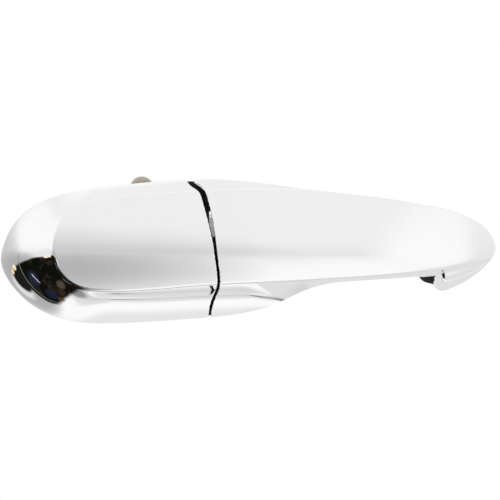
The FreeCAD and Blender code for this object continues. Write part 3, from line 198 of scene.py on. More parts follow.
OUTLINE_MAP = distance_map(curve(OUTLINE, 700), smooth=1.1)
CROWN_MAP = distance_map(curve(CROWN, 600), smooth=1.6)
FOOT_MAP = distance_map(curve(FOOT, 300), smooth=0.9)
# negative on the cap's side
GAP_MAP = distance_map(curve(GAP, 160, closed=False), smooth=0.8, closed=False)
crest_height = Cubic(*zip(*CREST))


# ==========================================================================================
# 2. Outer form and shells as smooth implicit functions, negative inside, mm
# ==========================================================================================
WALL = 2.5
BASE_H = 1.0           # height of the back edge where it is flat
ARCH_RISE = 19.0       # how far the back edge lifts in the strap's middle
LEDGE_H = 7.0          # height of the ledge round the cap
RIDGE_Z = -1.0         # line where the top face is highest
RIDGE_ROUND = 3.0
UP_SLOPE, UP_CURVE = 0.087, 240        # fall of the top face above the ridge line
DOWN_SLOPE, DOWN_CURVE = 0.176, 120    # and below it
RIM_DRAFT, RIM_ROUND = 0.03, 0.8
FOOT_DRAFT, FOOT_BLEND = 0.34, 3.0
CUT_ROUND, BACK_ROUND = 1.0, 0.8       # rounding at the gap and at the back edge
ROOM_ROUND, MOUTH_ROUND = 1.5, 0.5     # rounding inside the hollow and round its mouth


def ease(x, start, end):
    """0 up to start, 1 from end on, smooth between."""
    u = np.clip((x - start) / (end - start), 0, 1)
    return u * u * u * (u * (u * 6 - 15) + 10)


def smooth_min(a, b, blend):
    g = np.maximum(blend - np.abs(a - b), 0) / blend
    return np.minimum(a, b) - g * g * g * blend / 6


def smooth_max(a, b, blend):
    return -smooth_min(-a, -b, blend)


def back_height(x):
    arch = ease(x, 7.0, 31.0) * (1 - ease(x, 77.0, 91.0))
    tip_relief = np.maximum(0.0, 0.40 + 0.2126 * (x - 108.0))
    return BASE_H + ARCH_RISE * arch + tip_relief


def ledge_height(x, crest):
    """Flat round the cap, then following the crest along the strap."""
    follow = smooth_max(crest - 10.5, 0.5 * crest, 3.0)
    u = ease(x, 5.0, 31.0)
    return LEDGE_H * (1 - u) + follow * u


class Form:
    """Everything that depends on x and z only, for a set of points."""

    def __init__(self, x, z):
        self.x = x
        self.outline, self.crown = look(OUTLINE_MAP, x, z), look(CROWN_MAP, x, z)
        self.foot, self.gap = look(FOOT_MAP, x, z), look(GAP_MAP, x, z)
        self.half_gap = (1.1 + 1.35 * ease(z, -8.0, 26.0)) / 2
        self.back = back_height(x)
        # fillet between wall and ledge, larger towards -X; rounding of the crown's edge
        self.fillet = (6.0 + 6.0 * (1 - ease(x, -10.0, 20.0))
                       + 7.0 * (1 - ease(x, -97.0, -60.0)))
        self.crown_round = 1.3 + 1.7 * ease(x, 50.0, 100.0)

        # the top face falls away on both sides of a soft ridge
        crest = crest_height(x)
        across = z - RIDGE_Z
        soft = np.sqrt(across * across + RIDGE_ROUND ** 2)
        up, down = (across + soft) / 2, (soft - across) / 2
        self.top = (crest - up * UP_SLOPE - up * up / UP_CURVE
                    - down * DOWN_SLOPE - down * down / DOWN_CURVE + 0.4)

        # wall slope: shallow at the -X tip; low on the strap it runs straight to the outline
        tip = 1 - ease(x, -97.0, -62.0)
        under = ease(-z, 0.0, 8.0)
        flare = ease(x, -4.0, 20.0) * under
        depth = np.maximum(self.top - self.back - 1.5, 4.0)
        run = np.clip((self.crown - self.outline) / depth, 0.25, 1.0)
        self.slope = (0.25 + 1.05 * tip) * (1 - flare) + run * flare

        # the ledge stays low on the underside, and rises slightly inwards
        edge = ledge_height(x, crest)
        low = LEDGE_H + (edge - LEDGE_H) * ease(x, 66.0, 92.0)
        ledge = edge * (1 - under) + under * low
        inwards = smooth_min(12.0, smooth_max(0.0, -self.outline, 2.0), 3.0)
        self.ledge = ledge + 0.10 * inwards


def body(f, h, rim=True):
    """Outer form; without the rim the ledge runs on past the outline."""
    wall = (f.crown - (f.top - h) * f.slope) / np.sqrt(1 + f.slope ** 2)
    g = smooth_max(h - f.top, wall, f.crown_round)
    g = smooth_min(g, h - f.ledge, f.fillet)
    if rim:
        g = smooth_max(g, f.outline + (h - BASE_H) * RIM_DRAFT, RIM_ROUND)
    foot = smooth_max(f.foot + (h - BASE_H) * FOOT_DRAFT, h - (f.top - 4.0), 3.0)
    foot = np.where(f.x > 60, foot, 1e3)
    return smooth_min(g, foot, FOOT_BLEND)


def hollow_shell(f, h, side, back_round, room_floor):
    """The part of the body on one side of the gap, hollowed from the back."""
    outer = body(f, h)
    cut = side * f.gap + f.half_gap
    solid = smooth_max(smooth_max(outer, cut, CUT_ROUND), f.back - h, back_round)
    room = smooth_max(outer + WALL, cut + WALL, ROOM_ROUND)
    room = smooth_max(room, room_floor - h, MOUTH_ROUND)
    return smooth_max(solid, -room, MOUTH_ROUND)


def cap_form(f, h):
    return hollow_shell(f, h, side=1, back_round=BACK_ROUND, room_floor=-3.0)


def strap_form(f, h):
    arch_round = 5.2 * ease(f.x, 12.0, 30.0) * (1 - ease(f.x, 78.0, 88.0))
    return hollow_shell(f, h, side=-1, back_round=BACK_ROUND + arch_round,
                        room_floor=f.back - 8.0)


# ==========================================================================================
# 3. Meshes of the two shells
# ==========================================================================================
def surface_net(form, low, high, spacing):
    """Points and quads of the zero surface of a form on a grid."""
    n = [int(math.ceil((b - a) / spacing)) + 1 for a, b in zip(low, high)]
    xs, hs, zs = [a + spacing * np.arange(count) for a, count in zip(low, n)]
    gx, gz = np.meshgrid(xs, zs, indexing="ij")
    f = Form(gx.ravel(), gz.ravel())
    values = np.empty(n, np.float32)
    for j, h in enumerate(hs):
        values[:, j, :] = form(f, h).reshape(n[0], n[2])
    inside = values < 0

    # cells the surface passes through
    corners = list(itertools.product((0, 1), repeat=3))
    filled = np.zeros([k - 1 for k in n], int)
    for a, b, c in corners:
        filled += inside[a:n[0] - 1 + a, b:n[1] - 1 + b, c:n[2] - 1 + c]
    mixed = (filled > 0) & (filled < 8)
    index = -np.ones(mixed.shape, int)
    cells = np.argwhere(mixed)
    index[mixed] = np.arange(len(cells))

    # one point a cell, at the mean of the crossings on its edges
    total, hits = np.zeros((len(cells), 3)), np.zeros(len(cells))
    for corner in corners:
        for axis in range(3):
            if corner[axis]:
                continue
            far = list(corner)
            far[axis] = 1
            va = values[tuple((cells + corner).T)]
            vb = values[tuple((cells + far).T)]
            crossed = (va < 0) != (vb < 0)
            t = np.where(crossed, va / np.where(crossed, va - vb, 1), 0)
            q = np.tile(np.array(corner, float), (len(cells), 1))
            q[:, axis] += t
            total[crossed] += q[crossed]
            hits[crossed] += 1
    points = (cells + total / hits[:, None]) * spacing + np.array(low)

    # one quad round each grid edge that is crossed
    quads = []
    for axis in range(3):
        o0, o1 = [i for i in range(3) if i != axis]
        first, second = [slice(None)] * 3, [slice(None)] * 3
        first[axis], second[axis] = slice(0, -1), slice(1, None)
        e = np.argwhere(inside[tuple(first)] != inside[tuple(second)])
        e = e[(e[:, o0] > 0) & (e[:, o1] > 0) & (e[:, o0] < n[o0] - 1) & (e[:, o1] < n[o1] - 1)]
        flip = inside[tuple(e.T)]
        if axis == 1:
            flip = ~flip
        ring = []
        for d0, d1 in ((0, 0), (1, 0), (1, 1), (0, 1)):
            k = e.copy()
            k[:, o0] -= d0
            k[:, o1] -= d1
            ring.append(index[tuple(k.T)])
        ring = np.stack(ring, 1)
        ring[flip] = ring[flip][:, ::-1]
        quads.append(ring)
    return points, np.concatenate(quads)


def evaluate(form, p):
    return form(Form(p[:, 0], p[:, 2]), p[:, 1])


def gradient(form, p, reach=0.02):
    g = np.empty_like(p)
    for i in range(3):
        ahead, behind = p.copy(), p.copy()
        ahead[:, i] += reach
        behind[:, i] -= reach
        g[:, i] = (evaluate(form, ahead) - evaluate(form, behind)) / (2 * reach)
    return g


def unit(v):
    return v / np.maximum(np.linalg.norm(v, axis=1, keepdims=True), 1e-9)


def polish(form, p, rounds=3, max_move=0.3):
    """Newton steps that bring the points onto the surface."""
    for _ in range(rounds):
        g = gradient(form, p)
        square = np.maximum((g ** 2).sum(1), 0.05)
        move = -(evaluate(form, p) / square)[:, None] * g
        length = np.linalg.norm(move, axis=1, keepdims=True)
        p = p + move * np.minimum(1, max_move / np.maximum(length, 1e-9))
    return p


def to_scene(v):
    """(x, h, z) to (x, y, z)."""
    return np.stack([v[:, 0], -v[:, 1], v[:, 2]], 1)


def shell_mesh(name, form, low, high):
    points, quads = surface_net(form, low, high, STEP)
    points = polish(form, points)
    normals = unit(gradient(form, points))
    depth = -evaluate(body, points)                 # how far inside the outer form

    # the rim's edge is crisp: the first stretch round the corner keeps the ledge's normal
    def rimless(f, h):
        return body(f, h, rim=False)
    ledge_normals = unit(gradient(rimless, points))
    near = 1 - ease(-evaluate(rimless, points), 0.9, 2.0)
    w = (near * (depth < 0.3) * (normals[:, 1] > -0.3))[:, None]
    normals = to_scene(unit(normals * (1 - w) + ledge_normals * w))

    me = bpy.data.meshes.new(name)
    me.from_pydata((to_scene(points) * MM).tolist(), [], quads.tolist())
    me.validate()
    face_normals = np.zeros(len(me.polygons) * 3)
    me.polygons.foreach_get("normal", face_normals)
    first = np.array([p.vertices[0] for p in me.polygons])
    if (face_normals.reshape(-1, 3) * normals[first]).sum() < 0:
        me.flip_normals()
    me.shade_smooth()
    me.normals_split_custom_set_from_vertices(normals.tolist())
    # painted shade: from 0.45 mm inside the outer form the chrome is turned dull black, standing
    # in for the shade in the gap and the hollows
    recess = me.attributes.new("recess", "FLOAT", "POINT")
    recess.data.foreach_set("value", np.clip((depth - 0.45) / 0.7, 0, 1).astype(np.float32))
    return add_object(name, me)


STEP = 0.72
cap = shell_mesh("end_cap_chrome", cap_form, low=(-121, -1, -38), high=(-10, 36, 38))
strap = shell_mesh("strap_chrome", strap_form, low=(-33, -1, -36), high=(121, 39, 37))
for ob, rides_on, node in ((cap, "carrier", "end_cap_shell"), (strap, "strap", "strap_shell")):
    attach(ob, rides_on)
    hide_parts(node)


# ==========================================================================================
# 4. Torsion spring, coiled along X, in scene axes but mm
# ==========================================================================================
COIL_START = (-14.6, 26.0, -14.0)     # on the coil's axis
COIL_R, COIL_PITCH = 6.3, 1.9
COIL_FROM, COIL_TO = 90.0, 148.0 - 5 * 360.0      # degrees
COIL_STEPS = 190
WIRE_R, WIRE_SIDES = 0.7, 12
LEG_STEP = 0.7
HOOK_R, HOOK_AT = 1.4, 11.1           # bend of the second leg, and its distance along it


def wire_path():
    """A leg towards -Y, the coil, then a leg that bends round to run along +X."""
    x0, yc, zc = COIL_START
    path = [(x0, yc - s, zc + COIL_R) for s in np.arange(20.5, 0.2, -LEG_STEP)]
    sweep = COIL_TO - COIL_FROM
    for i in range(COIL_STEPS + 1):
        a = math.radians(COIL_FROM + sweep * i / COIL_STEPS)
        path.append((x0 - sweep / 360.0 * COIL_PITCH * i / COIL_STEPS,
                     yc + COIL_R * math.cos(a), zc + COIL_R * math.sin(a)))
    end = math.radians(COIL_TO)
    p = Vector(path[-1])
    d = Vector((0.0, math.sin(end), -math.cos(end)))
    path += [tuple(p + d * s) for s in np.arange(0.6, 11.3, LEG_STEP)]
    c = p + d * HOOK_AT + Vector((HOOK_R, 0, 0))
    path += [tuple(c + d * HOOK_R * math.sin(u) - Vector((HOOK_R * math.cos(u), 0, 0)))
             for u in np.linspace(0.15, 1.57, 7)]
    p = Vector(path[-1])
    path += [tuple(p + Vector((s, 0, 0))) for s in np.arange(0.6, 5.2, LEG_STEP)]
    return np.array(path)


def spring_mesh():
    points = wire_path()
    tangents = np.gradient(points, axis=0)
    tangents /= np.linalg.norm(tangents, axis=1, keepdims=True)
    k = WIRE_SIDES
    u = np.cross(tangents[0], (1.0, 0, 0))
    verts, faces = [], []
    for i, (q, t) in enumerate(zip(points, tangents)):
        u = u - t * (u @ t)
        u /= np.linalg.norm(u)
        v = np.cross(t, u)
        for j in range(k):
            a = 2 * math.pi * j / k
            verts.append(tuple((q + WIRE_R * (math.cos(a) * u + math.sin(a) * v)) * MM))
        if i:
            o = i * k
            faces += [(o - k + j, o - k + (j + 1) % k, o + (j + 1) % k, o + j)
                      for j in range(k)]
    faces.append(tuple(range(k)))
    faces.append(tuple(len(verts) - 1 - j for j in range(k)))
    me = bpy.data.meshes.new("return_spring_wire")
    me.from_pydata(verts, [], faces)
    me.validate()
    me.shade_smooth()
    return add_object("return_spring_wire", me)


coil = spring_mesh()
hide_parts("return_spring")


# ==========================================================================================
# 5. Materials, all procedural, in object space (metres)
# ==========================================================================================
class Tree:
    """Short way to write node trees."""

    def __init__(self, node_tree):
        self.tree = node_tree
        node_tree.nodes.clear()

    def node(self, kind, **settings):
        n = self.tree.nodes.new(kind)
        for k, v in settings.items():
            setattr(n, k, v)
        return n

    def link(self, a, b):
        self.tree.links.new(a, b)

    def put(self, sock, v):
        """Link a socket, or set a value; a colour gets its alpha."""
        if isinstance(v, bpy.types.NodeSocket):
            self.link(v, sock)
        elif sock.type == "RGBA":
            sock.default_value = (*v, 1.0)
        else:
            sock.default_value = v

    def put_all(self, n, values):
        for sock, v in zip(n.inputs, values):
            self.put(sock, v)
        return n

    def math(self, op, a, b=0.0):
        return self.put_all(self.node("ShaderNodeMath", operation=op), (a, b, 0.0)).outputs[0]

    def vector_math(self, op, a, b=(0, 0, 0)):
        return self.put_all(self.node("ShaderNodeVectorMath", operation=op), (a, b))

    def mix(self, factor, a, b):
        n = self.node("ShaderNodeMix", data_type="RGBA")
        for i, v in ((0, factor), (6, a), (7, b)):
            self.put(n.inputs[i], v)
        return n.outputs[2]

    def cover(self, base, mask, amount, color):
        """Lay a colour over the base where the mask is 1."""
        return self.mix(self.math("MULTIPLY", mask, amount), base, color)

    def span(self, v, between, to=(0.0, 1.0)):
        """Map one range onto another, with soft ends."""
        n = self.node("ShaderNodeMapRange", interpolation_type="SMOOTHSTEP")
        return self.put_all(n, (v, *between, *to)).outputs[0]

    def coords(self, scale=(1, 1, 1), turn=(0, 0, 0)):
        c = self.node("ShaderNodeTexCoord")
        m = self.node("ShaderNodeMapping")
        m.inputs["Scale"].default_value = scale
        m.inputs["Rotation"].default_value = turn
        self.link(c.outputs["Object"], m.inputs["Vector"])
        return m.outputs[0]

    def noise(self, vec, scale, detail=3.0, rough=0.5, out=0):
        n = self.node("ShaderNodeTexNoise")
        self.put(n.inputs["Vector"], vec)
        n.inputs["Scale"].default_value = scale
        n.inputs["Detail"].default_value = detail
        n.inputs["Roughness"].default_value = rough
        return n.outputs[out]

    def voronoi(self, vec, scale, feature="F1"):
        n = self.node("ShaderNodeTexVoronoi", feature=feature)
        self.put(n.inputs["Vector"], vec)
        n.inputs["Scale"].default_value = scale
        return n.outputs[0]

    def bump(self, height, depth, strength=1.0, normal=None):
        n = self.node("ShaderNodeBump")
        n.inputs["Strength"].default_value = strength
        n.inputs["Distance"].default_value = depth
        self.put(n.inputs["Height"], height)
        if normal is not None:
            self.link(normal, n.inputs["Normal"])
        return n.outputs[0]

    def edge_wear(self):
        g = self.node("ShaderNodeNewGeometry")
        return self.span(g.outputs["Pointiness"], (0.505, 0.56))

    def principled(self, color, rough, normal, metallic=0.0, **more):
        """Further inputs are named with _ for a space."""
        n = self.node("ShaderNodeBsdfPrincipled")
        inputs = {"Base Color": color, "Roughness": rough, "Normal": normal,
                  "Metallic": metallic, **{k.replace("_", " "): v for k, v in more.items()}}
        for k, v in inputs.items():
            self.put(n.inputs[k], v)
        return n.outputs[0]

    def out(self, shader):
        self.link(shader, self.node("ShaderNodeOutputMaterial").inputs["Surface"])


def new_material(name):
    m = bpy.data.materials.new(name)
    m.use_nodes = True
    return m, Tree(m.node_tree)


def make_chrome():
    """Polished plating; inside the shells and the gap it gives way to a dull black that is painted
    shade.
    """
    m, t = new_material("polished_chrome")
    v = t.coords()
    broad = t.noise(v, scale=34.0, detail=2.0, rough=0.45)
    haze = t.noise(t.coords(scale=(1, 1, 1.6), turn=(0.3, 0.2, 0.5)),
                   scale=95.0, detail=4.0, rough=0.6)
    streak = t.noise(t.coords(scale=(22, 60, 300), turn=(0.0, 0.35, 0.0)), scale=6.0, rough=0.6)
    rough = t.math("ADD", t.span(haze, (0.35, 0.75), to=(0.018, 0.045)),
                   t.span(streak, (0.55, 0.8), to=(0.0, 0.012)))
    color = t.mix(t.span(broad, (0.3, 0.7)), (0.955, 0.958, 0.962), (0.975, 0.974, 0.972))
    fine = t.bump(t.noise(v, scale=520.0, detail=2.0), depth=0.0000025)
    waves = t.bump(t.noise(v, scale=60.0, detail=1.0, rough=0.4), depth=0.00003, normal=fine)
    plated = t.principled(color, rough, waves, metallic=1.0)
    # painted shade: a dull black shader laid on the surfaces that lie inside the outer form
    grit = t.noise(v, scale=2600.0, detail=2.0, rough=0.6)
    painted_shade_shader = t.principled(t.mix(grit, (0.012, 0.012, 0.013), (0.03, 0.03, 0.03)), 0.62,
                        t.bump(grit, depth=0.00006))
    recess = t.node("ShaderNodeAttribute", attribute_name="recess").outputs["Fac"]
    t.out(t.put_all(t.node("ShaderNodeMixShader"), (recess, plated, painted_shade_shader)).outputs[0])
    return m


def make_nylon():
    m, t = new_material("glass_filled_nylon")
    tint = (0.026, 0.027, 0.029)
    v = t.coords()
    fine = t.noise(v, scale=1500.0, rough=0.6)
    flow = t.noise(t.coords(scale=(1, 1, 7), turn=(0.2, 0.0, 0.1)),
                   scale=90.0, detail=4.0, rough=0.6)
    fleck = t.span(t.noise(t.coords(scale=(1, 5, 1)), scale=2200.0, detail=1.0), (0.66, 0.74))
    base = t.mix(t.span(flow, (0.35, 0.7)), tint, tuple(c * 1.55 for c in tint))
    base = t.cover(base, fleck, amount=0.35, color=(0.12, 0.12, 0.125))
    base = t.cover(base, t.edge_wear(), amount=0.5, color=(0.10, 0.10, 0.104))
    grain = t.bump(fine, depth=0.00007, strength=0.9)
    t.out(t.principled(base, t.span(flow, (0.3, 0.7), to=(0.46, 0.60)),
                       t.bump(flow, depth=0.00012, strength=0.35, normal=grain),
                       Specular_IOR_Level=0.45))
    return m


def make_grip():
    """Leather grain: cells with creases between them, their edges bent by noise."""
    m, t = new_material("leather_grain_cover")
    v = t.coords()
    bend = t.vector_math("SCALE", t.noise(v, scale=300.0, detail=2.0, out=1))
    bend.inputs["Scale"].default_value = 0.0012
    warped = t.vector_math("ADD", v, bend.outputs[0]).outputs[0]
    crease = t.span(t.voronoi(warped, scale=820.0, feature="DISTANCE_TO_EDGE"), (0.0, 0.16))
    pore = t.noise(v, scale=3800.0, detail=2.0, rough=0.6)
    base = t.mix(crease, (0.012, 0.012, 0.013), (0.040, 0.041, 0.043))
    base = t.cover(base, t.edge_wear(), amount=0.4, color=(0.09, 0.09, 0.092))
    height = t.math("ADD", crease, t.math("MULTIPLY", pore, 0.25))
    t.out(t.principled(base, t.span(pore, (0.3, 0.7), to=(0.42, 0.55)),
                       t.bump(height, depth=0.00010, strength=0.9)))
    return m


def make_rubber():
    m, t = new_material("moulded_rubber")
    tint = (0.018, 0.020, 0.019)
    v = t.coords()
    bloom = t.noise(v, scale=130.0, detail=5.0, rough=0.65)
    fine = t.noise(v, scale=900.0, rough=0.6)
    base = t.mix(t.span(bloom, (0.42, 0.75)), tint, tuple(0.02 + c * 1.9 for c in tint))
    t.out(t.principled(base, t.span(bloom, (0.3, 0.7), to=(0.62, 0.82)),
                       t.bump(fine, depth=0.00008, strength=0.8),
                       Sheen_Weight=0.12, Sheen_Roughness=0.5))
    return m


def make_foam():
    m, t = new_material("closed_cell_foam")
    v = t.coords()
    small = t.voronoi(v, scale=1500.0)
    big = t.voronoi(v, scale=620.0)
    height = t.math("ADD", small, t.math("MULTIPLY", big, 0.6))
    base = t.mix(t.span(height, (0.2, 1.1)), (0.035, 0.035, 0.037), (0.12, 0.12, 0.125))
    t.out(t.principled(base, 0.92, t.bump(height, depth=0.00022, strength=0.8)))
    return m


def make_zinc():
    m, t = new_material("die_cast_zinc")
    cast = t.noise(t.coords(), scale=700.0, detail=4.0, rough=0.65)
    flow = t.noise(t.coords(scale=(1, 3, 1), turn=(0.4, 0.1, 0.2)),
                   scale=60.0, detail=4.0, rough=0.6)
    wear = t.edge_wear()
    base = t.mix(t.span(flow, (0.3, 0.75)), (0.34, 0.345, 0.355), (0.50, 0.505, 0.515))
    base = t.cover(base, wear, amount=0.7, color=(0.74, 0.74, 0.75))
    rough = t.math("SUBTRACT", t.span(cast, (0.3, 0.7), to=(0.40, 0.56)),
                   t.math("MULTIPLY", wear, 0.16))
    t.out(t.principled(base, rough, t.bump(cast, depth=0.00009, strength=0.7), metallic=0.92))
    return m


def make_metal(name, light, dark, rough, stretch=(1, 1, 1)):
    m, t = new_material(name)
    brush = t.noise(t.coords(scale=stretch), scale=900.0, rough=0.6)
    tone = t.noise(t.coords(), scale=120.0, detail=4.0, rough=0.6)
    base = t.mix(t.span(tone, (0.35, 0.7)), dark, light)
    base = t.cover(base, t.edge_wear(), amount=0.5, color=tuple(min(1, c * 1.25) for c in light))
    rough = t.math("ADD", t.span(brush, (0.3, 0.7), to=rough),
                   t.span(tone, (0.6, 0.8), to=(0.0, 0.08)))
    t.out(t.principled(base, rough, t.bump(brush, depth=0.000025, strength=0.6), metallic=0.96))
    return m


def make_acetal():
    m, t = new_material("black_acetal")
    v = t.coords()
    fine = t.noise(v, scale=1400.0, detail=2.0)
    tone = t.noise(v, scale=150.0)
    t.out(t.principled(t.mix(tone, (0.020, 0.020, 0.021), (0.032, 0.032, 0.033)),
                       t.span(fine, (0.3, 0.7), to=(0.26, 0.38)),
                       t.bump(fine, depth=0.00003, strength=0.6)))
    return m


BY_SLOT = {
    "chrome": make_chrome(),
    "black_nylon": make_nylon(),
    "grip_plastic": make_grip(),
    "rubber": make_rubber(),
    "foam": make_foam(),
    "zinc": make_zinc(),
    "steel": make_metal("bright_plated_steel", light=(0.66, 0.66, 0.67),
                        dark=(0.52, 0.52, 0.54), rough=(0.20, 0.34), stretch=(1, 1, 6)),
    "tan_nickel": make_metal("dull_tan_plating", light=(0.50, 0.46, 0.385),
                             dark=(0.41, 0.375, 0.30), rough=(0.36, 0.50), stretch=(2, 1, 2)),
    "spring_steel": make_metal("oiled_spring_steel", light=(0.30, 0.30, 0.31),
                               dark=(0.17, 0.17, 0.18), rough=(0.24, 0.40)),
    "brass": make_metal("machined_brass", light=(0.80, 0.60, 0.30),
                        dark=(0.66, 0.48, 0.22), rough=(0.18, 0.32), stretch=(8, 1, 1)),
    "acetal": make_acetal(),
}
for part in frame["record"]["subparts"]:
    slots = frame["nodes"][part["node"]].data.materials
    slots.clear()
    slots.append(BY_SLOT[part["material_slot"]])
for ob, slot in ((cap, "chrome"), (strap, "chrome"), (coil, "spring_steel")):
    ob.data.materials.append(BY_SLOT[slot])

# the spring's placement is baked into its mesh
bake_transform(coil)


# ==========================================================================================
# 6. Studio: pale floor, soft light all round, camera (metres)
# ==========================================================================================
FLOOR_HALF, FLOOR_Z, FLOOR_CELLS = 1.5, -0.25, 48


def make_floor():
    n = FLOOR_CELLS
    ticks = [-FLOOR_HALF + 2 * FLOOR_HALF * i / n for i in range(n + 1)]
    corners = [i * (n + 1) + j for i in range(n) for j in range(n)]
    me = bpy.data.meshes.new("studio_floor")
    me.from_pydata([(x, y, FLOOR_Z) for x in ticks for y in ticks], [],
                   [(a, a + n + 1, a + n + 2, a + 1) for a in corners])
    ob = add_object("studio_floor", me)
    m, t = new_material("pale_paper")
    fibre = t.noise(t.coords(), scale=240.0, detail=4.0, rough=0.6)
    t.out(t.principled(t.mix(fibre, (0.86, 0.86, 0.86), (0.90, 0.90, 0.90)), 0.85,
                       t.bump(fibre, depth=0.0002, strength=0.2)))
    me.materials.append(m)
    ob.visible_glossy = False


make_floor()

# light in the room: elevation in degrees, grey value
SKY = [
    (-90, 0.93), (-70, 0.94), (-58, 0.96), (-48, 0.92), (-36, 0.87), (-24, 0.83), (-12, 0.81),
    (-4, 0.83), (4, 0.85), (12, 0.88), (30, 0.885), (52, 0.885), (70, 0.93), (90, 1.0)]
# panels: towards, outer and inner half angle in degrees, strength, grey value
PANELS = [
    ((0.75, -0.62, -0.1), 44, 12, 1.0, 0.985),
    ((0.14, -0.66, -0.74), 36, 12, 0.95, 1.0),
    ((-0.9, -0.3, 0.35), 30, 12, 1.0, 0.98),
    ((0.02, 0.55, -0.83), 66, 40, 1.0, 0.76),
    ((-0.03, 0.42, -0.91), 26, 8, 0.7, 0.64),
    ((-0.22, -0.3, -0.93), 17, 6, 1.0, 0.98),
    ((-0.5, -0.85, -0.05), 28, 4, 0.85, 0.58),
    ((-0.62, -0.62, -0.48), 33, 15, 1.0, 0.44),
    ((-0.5, -0.76, -0.42), 8.6, 4.5, 0.9, 0.8),
    ((-0.24, 0.28, -0.93), 17, 6, 0.9, 0.24),
]
# the dark corner of the room is where all of these hold: direction along, from, to
CORNER = [
    ((0, 0, -1), 0.26, 0.31),
    ((-0.35, 1, 0), -0.51, -0.45),
    ((-1, 0, 0), 0.22, 0.35),
    ((0, -1, 0), -0.48, -0.3),
]
# things seen in that corner, same form as the panels but with a colour
CORNER_THINGS = [
    ((-0.58, -0.7, -0.41), 9, 6.5, 1.0, (0.012, 0.012, 0.011)),
    ((-0.56, 0.0, -0.83), 7.5, 3, 0.9, (0.09, 0.07, 0.055)),
    ((-0.44, -0.14, -0.88), 7, 2, 0.7, (0.045, 0.03, 0.018)),
    ((-0.7, -0.46, -0.55), 8, 3, 0.8, (0.018, 0.026, 0.055)),
    ((-0.5, -0.36, -0.79), 9, 4, 0.8, (0.014, 0.02, 0.04)),
    ((-0.33, -0.35, -0.88), 6, 2, 0.7, (0.1, 0.05, 0.02)),
    ((-0.95, -0.09, -0.29), 2.8, 1.6, 1.0, (1.0, 0.88, 0.68)),
    ((-0.62, -0.73, -0.29), 2.6, 1.2, 1.0, (1.0, 0.84, 0.55)),
    ((-0.56, -0.77, -0.3), 1.8, 0.9, 1.0, (1.0, 0.8, 0.45)),
]
# thin lines in it: plane normal, half width, towards, outer, inner, colour, strength
CORNER_LINES = [
    ((0.567, -0.777, 0.274), 0.01, (-0.62, -0.62, -0.48), 27, 20, (0.22, 0.25, 0.21), 0.9),
    ((0.596, -0.784, -0.173), 0.01, (-0.71, -0.41, -0.57), 5.5, 3.5, (0.75, 0.78, 0.8), 0.9),
]
# how far the noise moves the corner's edges, and its share on things and lines
WOBBLE, THING_WOBBLE, LINE_WOBBLE = 0.06, 0.02, 0.3


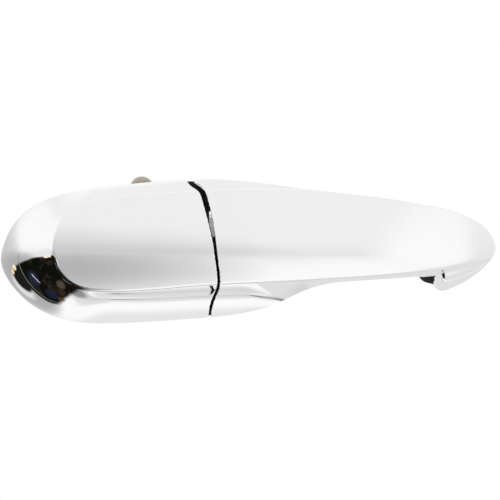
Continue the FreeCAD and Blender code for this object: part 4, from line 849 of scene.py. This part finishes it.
def make_world():
    world = bpy.data.worlds.new("studio")
    bpy.context.scene.world = world
    world.use_nodes = True
    t = Tree(world.node_tree)
    d = t.node("ShaderNodeTexCoord").outputs["Generated"]

    def along(v):
        return t.vector_math("DOT_PRODUCT", d, tuple(v)).outputs["Value"]

    def towards(v):
        return along(Vector(v).normalized())

    def cone(cosine, outer, inner):
        return t.span(cosine, (math.cos(math.radians(outer)), math.cos(math.radians(inner))))

    # sky by elevation, 0 straight down and 1 straight up
    split = t.node("ShaderNodeSeparateXYZ")
    t.link(d, split.inputs[0])
    elevation = t.math("DIVIDE", t.math("ARCSINE", split.outputs[2]), math.pi)
    ramp = t.node("ShaderNodeValToRGB")
    t.link(t.math("ADD", elevation, 0.5), ramp.inputs[0])
    stops = ramp.color_ramp.elements
    stops.remove(stops[-1])
    for i, (degrees, grey) in enumerate(SKY):
        position = degrees / 180.0 + 0.5
        stop = stops.new(position) if i else stops[0]
        stop.position = position
        stop.color = (grey, grey, grey, 1.0)
    color = ramp.outputs[0]

    for v, outer, inner, strength, grey in PANELS:
        color = t.cover(color, cone(towards(v), outer, inner), strength, (grey,) * 3)

    noise = t.noise(d, scale=4.0, detail=2.0)
    wobble = t.math("MULTIPLY", t.math("SUBTRACT", noise, 0.5), WOBBLE)
    corner = None
    for v, start, end in CORNER:
        k = t.span(t.math("ADD", along(v), wobble), (start, end))
        corner = k if corner is None else t.math("MULTIPLY", corner, k)
    patches = t.span(t.noise(d, scale=6.0, rough=0.6), (0.50, 0.72))
    deep = t.mix(patches, (0.005, 0.005, 0.004), (0.030, 0.022, 0.015))
    color = t.mix(corner, color, deep)

    shift = t.math("MULTIPLY", wobble, THING_WOBBLE)
    for v, outer, inner, strength, tint in CORNER_THINGS:
        mask = cone(t.math("ADD", towards(v), shift), outer, inner)
        color = t.cover(color, mask, strength, tint)
    for normal, width, v, outer, inner, tint, strength in CORNER_LINES:
        shift = t.math("MULTIPLY", wobble, LINE_WOBBLE)
        off = t.math("ABSOLUTE", t.math("ADD", towards(normal), shift))
        line = t.span(off, (width, width * 0.5))
        mask = t.math("MULTIPLY", line, cone(towards(v), outer, inner))
        color = t.cover(color, mask, strength, tint)

    # the camera itself sees plain white
    camera_ray = t.node("ShaderNodeLightPath").outputs["Is Camera Ray"]
    background = t.node("ShaderNodeBackground")
    t.link(t.mix(camera_ray, color, (1.0, 1.0, 1.0)), background.inputs[0])
    t.link(background.outputs[0], t.node("ShaderNodeOutputWorld").inputs[0])


make_world()


def softbox(name, at, power, size=(0.9, 0.6)):
    """Area light aimed at the origin, unseen itself."""
    light = bpy.data.lights.new(name, "AREA")
    light.shape = "RECTANGLE"
    light.size, light.size_y = size
    light.energy = power
    ob = add_object(name, light)
    ob.location = at
    ob.rotation_euler = (-Vector(at)).to_track_quat("-Z", "Y").to_euler()
    ob.visible_glossy = False
    ob.visible_camera = False


softbox("key_softbox", at=(-0.5, -0.9, 0.9), power=6.0)
softbox("back_softbox", at=(0.5, 0.9, 0.7), power=5.0)

# the view is VIEW_WIDTH wide at VIEW_DISTANCE from the camera
VIEW_WIDTH, VIEW_DISTANCE = 0.2375, 1.99
camera = bpy.data.cameras.new("camera")
camera.angle = 2 * math.atan(VIEW_WIDTH / 2 / VIEW_DISTANCE)
camera.clip_start = 0.05
camera_ob = add_object("camera", camera)
camera_ob.location = (0.00095, -2.0, 0.0)
camera_ob.rotation_euler = (math.radians(90), 0, 0)
bpy.context.scene.camera = camera_ob
bpy.context.scene.view_settings.view_transform = "Standard"
